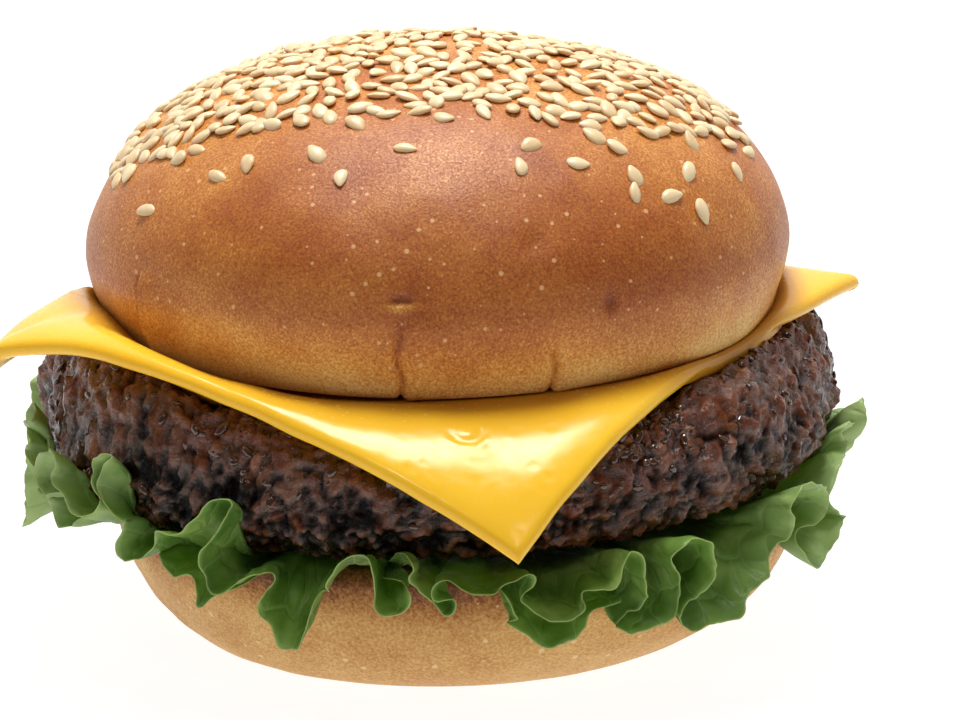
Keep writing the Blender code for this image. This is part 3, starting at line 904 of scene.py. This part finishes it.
def domeSpot(tree, distance, direction):
    # the crust below a point over the dome: place and slope, in mm
    out = Vector((distance * cos(direction), distance * sin(direction), 40.0))
    start, inner = Vector(leanPoints(np.array([out]))[0]), Vector((0, 0, 62.0))
    if distance > 40:  # on the steep side it is found from outside
        side = Vector((70 * cos(direction), 70 * sin(direction), 0))
        drop = max(0.0, 1 - (distance / crown["radius"]) ** crown["fullness"])
        level = crown["waist"] + (crown["height"] - crown["waist"]) * drop ** (1 / crown["fullness"])
        start = Vector(leanPoints(np.array([(side.x, side.y, level)]))[0])
        inner = Vector((0, 0, start.z))
        ray = (inner - start).normalized()
    else:
        ray = Vector((0, 0, -1))
    place, slope, _, _ = tree.ray_cast(start, ray)
    return place, slope


def makeSeeds(look):
    shape, faces = modelSeed(look)
    corners = [Vector(point) for point in getPoints(crownPiece)]
    tree = BVHTree.FromPolygons(corners, [tuple(face.vertices) for face in crownPiece.data.polygons])
    random = np.random.default_rng(look["seed"])
    spots = [(distance, radians(heading)) for heading, distance in look["strays"]]
    found = []
    for distance, heading in spots:
        found.append(domeSpot(tree, distance, heading))
    strayCount = len(found)
    kept = [np.array(place) for place, _ in found]
    for _ in range(7000):
        distance, direction = 47.5 * np.sqrt(random.random()), random.uniform(-pi, pi)
        edge = seedEdge(direction)
        chance = 1 - smoothStep(distance, edge - 3.0, edge + 2.5)
        steep = 1 / np.sqrt(max(0.12, 1 - (distance / crown["radius"]) ** 2))
        if random.random() > chance * steep * 0.5:
            continue
        place, slope = domeSpot(tree, distance, direction)
        if place is None:
            continue
        gaps = np.linalg.norm(np.array(kept) - np.array(place), axis=1)
        if gaps.min() < look["gap"] * random.uniform(0.8, 1.25):
            continue
        kept.append(np.array(place))
        found.append((place, slope))
    clumps = []
    tints = []
    for index, (place, slope) in enumerate(found):
        up = Vector(slope) + Vector(random.normal(0, look["lieFlat"], 3))
        up.normalize()
        heading = up.orthogonal().normalized()
        heading.rotate(Matrix.Rotation(random.uniform(-pi, pi), 3, up))
        across = up.cross(heading)
        size = random.uniform(0.88, 1.1)
        plump = random.uniform(0.85, 1.15)
        bent = shape.copy()
        bent[:, 1] += random.uniform(-0.1, 0.1) * (bent[:, 0] ** 2 - 1)
        lift = 0.16 * look["depth"] + (0.0 if index < strayCount else random.uniform(-0.05, 0.3))
        turn = np.array([heading, across * plump, up])
        clumps.append(bent @ turn * size + np.array(place) + np.array(up) * lift)
        tints.append(np.full(len(bent), random.random()))
    points = np.concatenate(clumps)
    allFaces = [
        tuple(corner + index * len(shape) for corner in face)
        for index in range(len(clumps)) for face in faces
    ]
    mesh = bpy.data.meshes.new("sesameSeeds")
    mesh.from_pydata([tuple(p * mm) for p in points], [], allFaces)
    piece = bpy.data.objects.new("sesameSeeds", mesh)
    bpy.context.scene.collection.objects.link(piece)
    mesh.shade_smooth()
    storeValue(piece, "tint", np.concatenate(tints))
    print("seeds:", len(clumps))
    return piece


# Hulled sesame: pale cream with a satin skin, each seed a little different
seedLook = dict(pale="E8D2A8", golden="CFA266", roughness=0.36)


def hulledSesame(look):
    material, tree, shader = newMaterial("hulled sesame")
    tint = addNode(tree, "ShaderNodeAttribute", attribute_name="tint").outputs["Fac"]
    place = addNode(tree, "ShaderNodeTexCoord").outputs["Object"]
    cloud = addNode(tree, "ShaderNodeTexNoise", {
        "Vector": place, "Scale": 1 / (1.2 * mm), "Detail": 2.0,
    }).outputs["Fac"]
    mixed = addNode(tree, "ShaderNodeMath", {0: tint, 1: cloud}, operation="MULTIPLY").outputs[0]
    colour = addNode(tree, "ShaderNodeMix", {
        0: mixed, 6: linearColour(look["pale"]), 7: linearColour(look["golden"]),
    }, data_type="RGBA").outputs[2]
    setShader(
        shader, Base_Color=colour, Roughness=look["roughness"], IOR=1.46,
        Subsurface_Weight=0.2, Subsurface_Radius=(0.8 * mm, 0.5 * mm, 0.3 * mm),
        Subsurface_Scale=1.0,
    )
    return material


seedPiece = makeSeeds(seeds)
dress(seedPiece, hulledSesame(seedLook), None)
print("seeds done:", len(seedPiece.data.polygons), "faces")


# Lettuce: two leaves of loose green lettuce. Each leaf's margin is a strip that lies flat
# under the patty and ruffles freely outside it. A ruffle's free edge is a curve through a few
# listed stops of (heading in degrees, distance from the axis, height) in mm.
leaf = dict(
    thickness=0.5, edgeThickness=0.12, rootRadius=41.0, innerRadius=24.0, step=0.42, rings=26,
    notch=1.1, quilt=0.45, wave=0.4,
    leftRuffles=[[
        (262, 48, 23), (263.5, 53, 23), (266, 56, 23.5), (267, 57.5, 22), (265.5, 57.5, 19.5),
        (263.5, 57.5, 19.5), (262.5, 57, 21.5), (262.5, 57.5, 25), (261.5, 57.5, 27), (259, 57, 26),
        (257, 56.5, 25), (255.5, 55.5, 22), (255.5, 54, 20.5), (255, 56, 21), (253.5, 57, 19),
        (253, 57, 16), (252, 56.5, 13.5), (249.5, 56.5, 13.5), (248.5, 57, 16.5),
        (246.5, 57, 18.5), (248.5, 56, 22.5), (246.5, 58, 23.5), (242, 59, 21), (240, 59, 22.5),
        (239.5, 59, 25), (241, 59, 28), (244, 58.5, 32.5), (241.5, 58.5, 33), (238, 59, 29.5),
        (235.5, 59, 27.5), (232, 58.5, 27), (230, 57, 24), (226, 56.5, 21.5), (223.5, 56.5, 21),
        (223.5, 57, 23), (226, 57.5, 26), (227, 58, 27.5), (224.5, 59, 28), (222, 59, 30),
        (222.5, 59, 33), (224.5, 58.5, 35.5), (221.5, 58.5, 35), (219.5, 58.5, 32.5),
        (221, 59, 30), (222, 59, 28.5), (218.5, 59.5, 26), (215.5, 60, 28), (212.5, 60, 29.5),
        (213, 60, 32.5), (210.5, 59.5, 33), (206, 59.5, 30.5), (203.5, 59, 28), (205.5, 58, 25.5),
        (203, 58, 26), (199, 58, 27.5), (196.5, 58, 29), (198, 58, 31), (195.5, 58, 32.5),
        (199, 57.5, 34), (195, 57, 34.5),
    ], [
        (228, 52, 23), (230, 55.5, 22.5), (232.5, 56, 20), (235.5, 56, 20.5), (237, 56, 17),
        (241, 56, 19.5), (244, 54, 21), (246, 50, 22),
    ], [
        (202, 52, 22), (205.5, 57, 25), (205, 57, 23.5), (206.5, 56.5, 21.5), (211, 56.5, 22.5),
        (213, 55, 24), (214, 50, 23),
    ]],
    rightRuffles=[[
        (262, 48, 24), (263.5, 52, 25.5), (266, 56, 27), (267.5, 57.5, 25.5), (267, 57, 24),
        (269.5, 56.5, 21), (271.5, 57, 19), (272.5, 57.5, 21), (270.5, 58, 22), (270.5, 58.5, 23.5),
        (272, 58.5, 24), (275, 59.5, 23), (277, 60, 22.5), (279, 59.5, 23.5), (282, 59, 24.5),
        (282.5, 58, 23), (281, 58, 22), (281, 59, 21), (283.5, 60, 19.5), (284.5, 60, 19),
        (286.5, 60, 19), (288.5, 59.5, 20), (288.5, 58.5, 21), (289, 58.5, 22), (292, 60, 22),
        (293.5, 60, 23.5), (295, 59.5, 26.5), (297, 58.5, 25), (297.5, 58, 21.5), (299, 56.5, 19.5),
        (298, 55.5, 17.5), (294, 56, 15.5), (297.5, 56.5, 14), (302, 57, 16), (303, 57.5, 18.5),
        (303, 58.5, 22), (300.5, 59.5, 25), (302, 60.5, 27), (304, 60.5, 27.5), (306.5, 60.5, 25.5),
        (307.5, 60, 22.5), (306.5, 58.5, 19), (304, 57.5, 17.5), (303, 57, 15.5), (305.5, 57, 13.5),
        (308.5, 57.5, 14), (312.5, 58, 14), (314.5, 58, 16), (319, 58, 19), (321.5, 57, 21.5),
        (323.5, 58, 22), (324, 58.5, 24), (322, 59.5, 27.5), (325.5, 60, 29.5), (332.5, 59, 26),
        (332, 58, 23), (328, 56.5, 22), (326.5, 57.5, 20), (329, 58.5, 17), (333.5, 58.5, 16.5),
        (338, 58, 19), (341.5, 58.5, 20.5), (338.5, 58, 22.5), (338, 57.5, 25), (343, 57.5, 28),
        (348, 57, 29), (346, 57, 32),
    ], [
        (277, 51, 22), (279, 55, 20.5), (281, 55, 18), (279.5, 55.5, 17.5), (282.5, 56, 15.5),
        (284, 56.5, 14.5), (287, 56.5, 14.5), (289, 56.5, 15.5), (291, 56, 17.5), (293.5, 55.5, 18),
        (296, 54, 18.5), (298, 50, 22),
    ]],
)


def backRuffles(start, end, firstUp):  # the side that faces away: up and down in turn
    stops = []
    count = round(abs(end - start) / 6.0)
    for i in range(1, count + 1):
        heading = start + (end - start) * i / count
        up = (i % 2 == 0) == firstUp
        reach = 58.0 + 1.5 * sin(2.3 * i)
        height = (31.0 + 2.5 * sin(1.7 * i)) if up else (17.5 + 2.5 * cos(2.9 * i))
        spread = 2.4 * (1 if end > start else -1)
        if up:
            stops += [(heading + spread, reach, height - 4), (heading, reach, height),
                      (heading - spread, reach, height - 4)][:: 1]
        else:
            stops += [(heading, reach - 1.5, height)]
    return stops


def smoothRoute(stops, step):  # evenly spaced points of a smooth curve through the stops
    heading, reach, height = np.array(stops, float).T
    corners = fromPolar(reach, np.radians(heading), height)
    padded = np.concatenate([[2 * corners[0] - corners[1]], corners, [2 * corners[-1] - corners[-2]]])
    fine = []
    for a, b, c, d in zip(padded, padded[1:], padded[2:], padded[3:]):
        for t in np.linspace(0, 1, 16, endpoint=False):
            fine.append(0.5 * (
                2 * b + (c - a) * t + (2 * a - 5 * b + 4 * c - d) * t**2
                + (3 * b - a - 3 * c + d) * t**3
            ))
    fine = np.array(fine + [corners[-1]])
    length = np.concatenate([[0], np.cumsum(np.linalg.norm(np.diff(fine, axis=0), axis=1))])
    wanted = np.arange(0, length[-1], step)
    return np.stack([np.interp(wanted, length, fine[:, k]) for k in range(3)], axis=1), wanted


def soften(values, width):  # a running average along the first axis, ends kept
    steps = int(max(1, round(width)))
    kernel = np.hanning(2 * steps + 3)[1:-1]
    kernel /= kernel.sum()
    padded = np.concatenate([np.repeat(values[:1], steps, 0), values, np.repeat(values[-1:], steps, 0)])
    return np.stack([np.convolve(padded[:, k], kernel, "valid") for k in range(values.shape[1])], 1)


def zigzag(along, size, seed):  # straight runs between random heights from 0 to 1
    random = np.random.default_rng(seed)
    knots = np.cumsum(random.uniform(0.5, 1.5, int(2 * along[-1] / size) + 4)) * size
    return np.interp(along, knots - knots[0], random.random(len(knots)))


def pushOut(points, gap):  # keeps the leaf outside the patty and the heel
    upright = uprightPoints(points)
    upright[:, 2] += stack["crownBase"] - stack["pattyBase"]
    radius, direction = polar(upright)
    half, corner = patty["height"] / 2, 7.0
    q = np.stack([radius - (patty["radius"] - corner), abs(upright[:, 2] - half) - (half - corner)], 1)
    outer = np.maximum(q, 0)
    length = np.linalg.norm(outer, axis=1)
    depth = length + np.minimum(q.max(axis=1), 0) - corner
    sideways = q[:, 0] > q[:, 1]
    away = np.where(
        (length > 1e-6)[:, None], outer / np.maximum(length, 1e-6)[:, None],
        np.stack([sideways, ~sideways], 1).astype(float),
    )
    away[:, 1] *= np.sign(upright[:, 2] - half)
    move = np.maximum(0.0, gap - depth)
    radius += away[:, 0] * move
    upright[:, 2] += away[:, 1] * move
    moved = fromPolar(radius, direction, upright[:, 2] - stack["crownBase"] + stack["pattyBase"])
    points = leanPoints(moved)
    # the heel: a bowl under a flat top
    shifted = points - np.array((heel["lean"], 0, 0))
    radius, direction = polar(shifted)
    bowl = heel["height"] - heel["shoulder"]
    rise = np.clip((bowl - shifted[:, 2]) / bowl, 0, 1)
    limit = heel["footRadius"] + (heel["radius"] - heel["footRadius"]) * np.sqrt(1 - rise**2) + gap
    low = shifted[:, 2] < bowl + 0.5
    radius = np.where(low, np.maximum(radius, limit), radius)
    over = (~low) & (radius < heel["radius"] + gap)
    shifted = fromPolar(radius, direction, shifted[:, 2])
    shifted[:, 2] = np.where(over, np.maximum(shifted[:, 2], heel["height"] + gap), shifted[:, 2])
    return shifted + np.array((heel["lean"], 0, 0))


def frillSheet(name, stops, look, seed):
    edge, along = smoothRoute(stops, look["step"])
    count, rings = len(edge), look["rings"]
    heading = np.unwrap(np.arctan2(edge[:, 1], edge[:, 0]))
    smooth = soften(heading[:, None], 11 / look["step"])[:, 0]
    rising = smooth[-1] > smooth[0]
    smooth = np.maximum.accumulate(smooth) if rising else np.minimum.accumulate(smooth)
    smooth = soften(smooth[:, None], 4 / look["step"])[:, 0]
    rootHeight = stack["heelHeight"] + 1.2 + np.minimum(0.0, np.cos(smooth)) * 0.6
    root = fromPolar(look["rootRadius"], smooth, rootHeight)
    outward = fromPolar(1.0, smooth, np.zeros(count))
    tangent = soften(np.gradient(edge, axis=0), 1.2 / look["step"])
    tangent /= np.linalg.norm(tangent, axis=1)[:, None]
    across = root - edge
    span = np.linalg.norm(across, axis=1)
    inward = across - tangent * np.sum(across * tangent, axis=1)[:, None]
    inward = soften(inward / span[:, None], 1.5 / look["step"])
    first = root + outward * (0.5 * span)[:, None]
    second = edge + inward * (0.42 * span)[:, None]
    share = np.linspace(0, 1, rings)[:, None, None]
    grid = (
        root * (1 - share) ** 3 + 3 * first * share * (1 - share) ** 2
        + 3 * second * share**2 * (1 - share) + edge * share**3
    )
    # relax the sheet between its root and its free edge, clear of patty and heel
    for turn in range(14):
        middle = grid[1:-1]
        average = (grid[:-2] + grid[2:]) / 2
        sideways = middle.copy()
        sideways[:, 1:-1] = (middle[:, :-2] + middle[:, 2:]) / 2
        grid[1:-1] = middle * 0.4 + average * 0.2 + sideways * 0.4
        if turn % 3 == 2:
            grid = pushOut(grid.reshape(-1, 3), 0.5).reshape(grid.shape)
    # ragged teeth on the edge, then quilting between the veins
    depth = np.linalg.norm(np.diff(grid, axis=0), axis=2)
    width = np.concatenate([np.zeros((1, count)), np.cumsum(depth, axis=0)])
    inset = width[-1] - width  # mm from the free edge
    tooth = zigzag(along, 2.6, seed) + 0.5 * zigzag(along, 1.1, seed + 40)
    reachOut = grid[-1] - grid[-4]
    reachOut /= np.linalg.norm(reachOut, axis=1)[:, None] + 1e-9
    pull = np.exp(-inset / 1.6) * (tooth - 0.75)[None] * look["notch"]
    grid += reachOut[None] * pull[..., None]
    acrossWay = np.gradient(grid, axis=0)
    alongWay = np.gradient(grid, axis=1)
    normal = np.cross(alongWay, acrossWay)
    normal /= np.linalg.norm(normal, axis=2)[..., None] + 1e-9
    place = np.stack([
        np.broadcast_to(along, inset.shape), inset, np.full(inset.shape, seed * 9.0),
    ], axis=2).reshape(-1, 3)
    near, far, _ = grains(place * (1, 1, 0), 5.5, 81 + seed)
    quilt = smoothStep(far - near, 0, 0.5).reshape(inset.shape) - 0.6
    wave = bumps(place, 4.5, 75).reshape(inset.shape) * np.exp(-inset / 4)
    wave += (zigzag(along, 3.6, seed + 60) - 0.5)[None] * np.exp(-inset / 2.5)
    free = smoothStep(share[..., 0], 0.1, 0.5)
    grid += normal * ((look["quilt"] * quilt + look["wave"] * wave) * free)[..., None]
    inner = fromPolar(look["innerRadius"], smooth, rootHeight)
    grid = np.concatenate([inner[None], grid])
    inset = np.concatenate([inset[:1] + look["rootRadius"] - look["innerRadius"], inset])
    clearSelection()
    bpy.ops.mesh.primitive_grid_add(x_subdivisions=count - 1, y_subdivisions=rings, size=1.0)
    piece = bpy.context.object
    piece.name = piece.data.name = name
    flat = getPoints(piece) * mm
    column = np.rint((flat[:, 0] + 0.5) * (count - 1)).astype(int)
    row = np.rint((flat[:, 1] + 0.5) * rings).astype(int)
    setPoints(piece, grid[row, column])
    layer = piece.data.uv_layers.active
    corner = np.empty(len(piece.data.loops), np.int32)
    piece.data.loops.foreach_get("vertex_index", corner)
    layout = np.stack([along[column], inset[row, column]], axis=1)[corner]
    layer.data.foreach_set("uv", layout.astype(np.float32).ravel())
    layer.name = "leafMap"
    # a thin wall on both sides of the sheet, thinner still at the margin
    middle, normals = getPoints(piece), getNormals(piece)
    half = look["edgeThickness"] / 2 + (
        (look["thickness"] - look["edgeThickness"]) / 2 * smoothStep(inset[row, column], 0, 3)
    )
    applyModifier(piece, "SOLIDIFY", thickness=look["thickness"] * mm, offset=0.0)
    side = np.sign(np.sum((getPoints(piece)[: len(middle)] - middle) * normals, axis=1))
    wall = normals * (half * side)[:, None]
    setPoints(piece, np.concatenate([middle + wall, middle - wall]))
    bpy.ops.object.shade_smooth()
    return piece


def makeLeaf(name, ruffles, look, seed):
    sheets = [
        frillSheet(name + str(index), stops, look, seed + index)
        for index, stops in enumerate(ruffles)
    ]
    clearSelection()
    for sheet in sheets:
        sheet.select_set(True)
    bpy.context.view_layer.objects.active = sheets[0]
    if len(sheets) > 1:
        bpy.ops.object.join()
    whole = sheets[0]
    whole.name = whole.data.name = name
    return whole


# Green leaf: a waxy skin over thin tissue that lets light through, a net of pale veins, and a
# yellow-green line where the margin is cut thin. The map holds mm along the margin and mm in
# from it.
leafLook = dict(
    dark="547A32", mid="7FA34C", light="B4CE76", pale="C2D596", vein="C4D598", margin="CCDC86",
    through="A5C850", veinCell=5.5, marginWidth=0.22,
)


def greenLeaf(look):
    material, tree, shader = newMaterial("green leaf lettuce")
    chart = addNode(tree, "ShaderNodeUVMap", uv_map="leafMap").outputs["UV"]
    place = addNode(tree, "ShaderNodeTexCoord").outputs["Object"]
    inset = addNode(tree, "ShaderNodeSeparateXYZ", {"Vector": chart}).outputs["Y"]
    cloud = addNode(tree, "ShaderNodeTexNoise", {
        "Vector": place, "Scale": 1 / (7 * mm), "Detail": 4.0, "Roughness": 0.55,
    }).outputs["Fac"]
    body = addNode(tree, "ShaderNodeValToRGB", {"Fac": cloud}, [
        (0.3, look["dark"]), (0.52, look["mid"]), (0.75, look["light"]),
    ]).outputs["Color"]
    # painted light: the lobes at both ends are painted paler, as if lit
    sideways = addNode(tree, "ShaderNodeSeparateXYZ", {"Vector": place}).outputs["X"]
    outlying = addNode(tree, "ShaderNodeMath", {0: sideways}, operation="ABSOLUTE").outputs[0]
    paintedLightShare = addNode(tree, "ShaderNodeMapRange", {
        "Value": outlying, "From Min": 36 * mm, "From Max": 62 * mm, "To Min": 0.0, "To Max": 0.85,
    }).outputs[0]
    body = addNode(tree, "ShaderNodeMix", {
        0: paintedLightShare, 6: body, 7: linearColour(look["pale"]),
    }, data_type="RGBA").outputs[2]
    wobble = addNode(tree, "ShaderNodeTexNoise", {
        "Vector": chart, "Scale": 0.35, "Detail": 2.0,
    }).outputs["Color"]
    shifted = addNode(tree, "ShaderNodeVectorMath", {
        0: wobble, 1: (2.2, 2.2, 0.0), 2: chart,
    }, operation="MULTIPLY_ADD").outputs[0]
    cells = addNode(tree, "ShaderNodeTexVoronoi", {
        "Vector": shifted, "Scale": 1 / look["veinCell"], "Randomness": 0.9,
    }, feature="DISTANCE_TO_EDGE", voronoi_dimensions="2D").outputs["Distance"]
    vein = addNode(tree, "ShaderNodeMapRange", {
        "Value": cells, "From Min": 0.008, "From Max": 0.03, "To Min": 0.28, "To Max": 0.0,
    }).outputs[0]
    veined = addNode(tree, "ShaderNodeMix", {
        0: vein, 6: body, 7: linearColour(look["vein"]),
    }, data_type="RGBA").outputs[2]
    rimShare = addNode(tree, "ShaderNodeMapRange", {
        "Value": inset, "From Min": look["marginWidth"] * 0.5, "From Max": look["marginWidth"],
        "To Min": 0.6, "To Max": 0.0,
    }).outputs[0]
    colour = addNode(tree, "ShaderNodeMix", {
        0: rimShare, 6: veined, 7: linearColour(look["margin"]),
    }, data_type="RGBA").outputs[2]
    skin = addNode(tree, "ShaderNodeTexNoise", {
        "Vector": place, "Scale": 1 / (0.6 * mm), "Detail": 3.0, "Roughness": 0.6,
    }).outputs["Fac"]
    rough = addNode(tree, "ShaderNodeMapRange", {
        "Value": skin, "From Min": 0.3, "From Max": 0.7, "To Min": 0.3, "To Max": 0.48,
    }).outputs[0]
    veinHeight = addNode(tree, "ShaderNodeMapRange", {
        "Value": cells, "From Min": 0.0, "From Max": 0.12, "To Min": 0.0, "To Max": 1.0,
    }).outputs[0]
    skinHeight = addNode(tree, "ShaderNodeMath", {
        0: skin, 1: 0.12, 2: veinHeight,
    }, operation="MULTIPLY_ADD").outputs[0]
    relief = addNode(tree, "ShaderNodeBump", {
        "Height": skinHeight, "Strength": 0.5, "Distance": 0.25 * mm,
    }).outputs["Normal"]
    setShader(shader, Base_Color=colour, Roughness=rough, Normal=relief, IOR=1.42)
    glow = addNode(tree, "ShaderNodeMix", {
        0: 0.55, 6: colour, 7: linearColour(look["through"]),
    }, data_type="RGBA").outputs[2]
    through = addNode(tree, "ShaderNodeBsdfTranslucent", {
        "Color": glow, "Normal": relief,
    }).outputs["BSDF"]
    blend = addNode(tree, "ShaderNodeMixShader", {
        0: 0.36, 1: shader.outputs["BSDF"], 2: through,
    }).outputs["Shader"]
    tree.links.new(blend, tree.nodes["Material Output"].inputs["Surface"])
    return material


leftMain = leaf["leftRuffles"][0] + backRuffles(191, 98, True) + [(96, 52, 23)]
rightMain = leaf["rightRuffles"][0] + backRuffles(350, 454, False) + [(456, 52, 23)]
leafGreen = greenLeaf(leafLook)
for leafName, node, mainStops, extra, seed in (
    ("lettuceLeafLeft", "lettuce_left", leftMain, leaf["leftRuffles"][1:], 1),
    ("lettuceLeafRight", "lettuce_right", rightMain, leaf["rightRuffles"][1:], 5),
):
    leafPiece = makeLeaf(leafName, [mainStops] + extra, leaf, seed)
    dress(leafPiece, leafGreen, node)
    print(leafName, "done:", len(leafPiece.data.polygons), "faces")


# Studio: a white sweep lit from above by one soft box, with white all round
studio = dict(
    front=0.1, back=1.0,  # how bright the room is on either side
    box=dict(place=(-5, 62, 515), size=(200, 210), power=2.8),
    # two small lamps over the camera, for the sparkle on what is wet
    sparks=dict(places=((-170, -330, 420), (150, -340, 440)), size=60, power=0.2),
    floorGlow=0.9,
)


def makeStudio(look):
    world = bpy.data.worlds.new("studio")
    world.use_nodes = True
    tree = world.node_tree
    heading = addNode(tree, "ShaderNodeTexCoord").outputs["Generated"]
    towardsBack = addNode(tree, "ShaderNodeSeparateXYZ", {"Vector": heading}).outputs["Y"]
    strength = addNode(tree, "ShaderNodeMapRange", {
        "Value": towardsBack, "From Min": -0.1, "From Max": 0.6,
        "To Min": look["front"], "To Max": look["back"],
    }).outputs[0]
    background = tree.nodes["Background"]
    background.inputs["Color"].default_value = linearColour("FFFFFF")
    tree.links.new(strength, background.inputs["Strength"])
    bpy.context.scene.world = world
    box = look["box"]
    bpy.ops.object.light_add(type="AREA", location=[v * mm for v in box["place"]])
    lamp = bpy.context.object
    lamp.data.shape = "RECTANGLE"
    lamp.data.size, lamp.data.size_y = [v * mm for v in box["size"]]
    lamp.data.energy = box["power"]
    lamp.rotation_euler = (Vector(box["place"]) - Vector((0, 0, 40))).to_track_quat("Z", "Y").to_euler()
    sparks = look["sparks"]
    for place in sparks["places"]:
        bpy.ops.object.light_add(type="AREA", location=[v * mm for v in place])
        spark = bpy.context.object
        spark.data.size = sparks["size"] * mm
        spark.data.energy = sparks["power"]
        towards = Vector(place) - Vector((0, 0, 40))
        spark.rotation_euler = towards.to_track_quat("Z", "Y").to_euler()
    clearSelection()
    bpy.ops.mesh.primitive_plane_add(size=8.0, location=(0, 0, -0.0002))
    floor = bpy.context.object
    floor.name = "floor"
    bpy.ops.object.transform_apply(location=True)
    material, tree, shader = newMaterial("matt white board")
    grain = addNode(tree, "ShaderNodeTexNoise", {"Scale": 800.0, "Detail": 2.0}).outputs["Fac"]
    tone = addNode(tree, "ShaderNodeValToRGB", {"Fac": grain}, [(0, "808080"), (1, "888888")])
    setShader(
        shader, Base_Color=tone.outputs["Color"], Roughness=0.9,
        Emission_Color=linearColour("FFFFFF"), Emission_Strength=look["floorGlow"],
    )
    floor.data.materials.append(material)


makeStudio(studio)
scene = bpy.context.scene
scene.view_settings.view_transform = "Standard"
scene.view_settings.look = "None"
print("studio done")
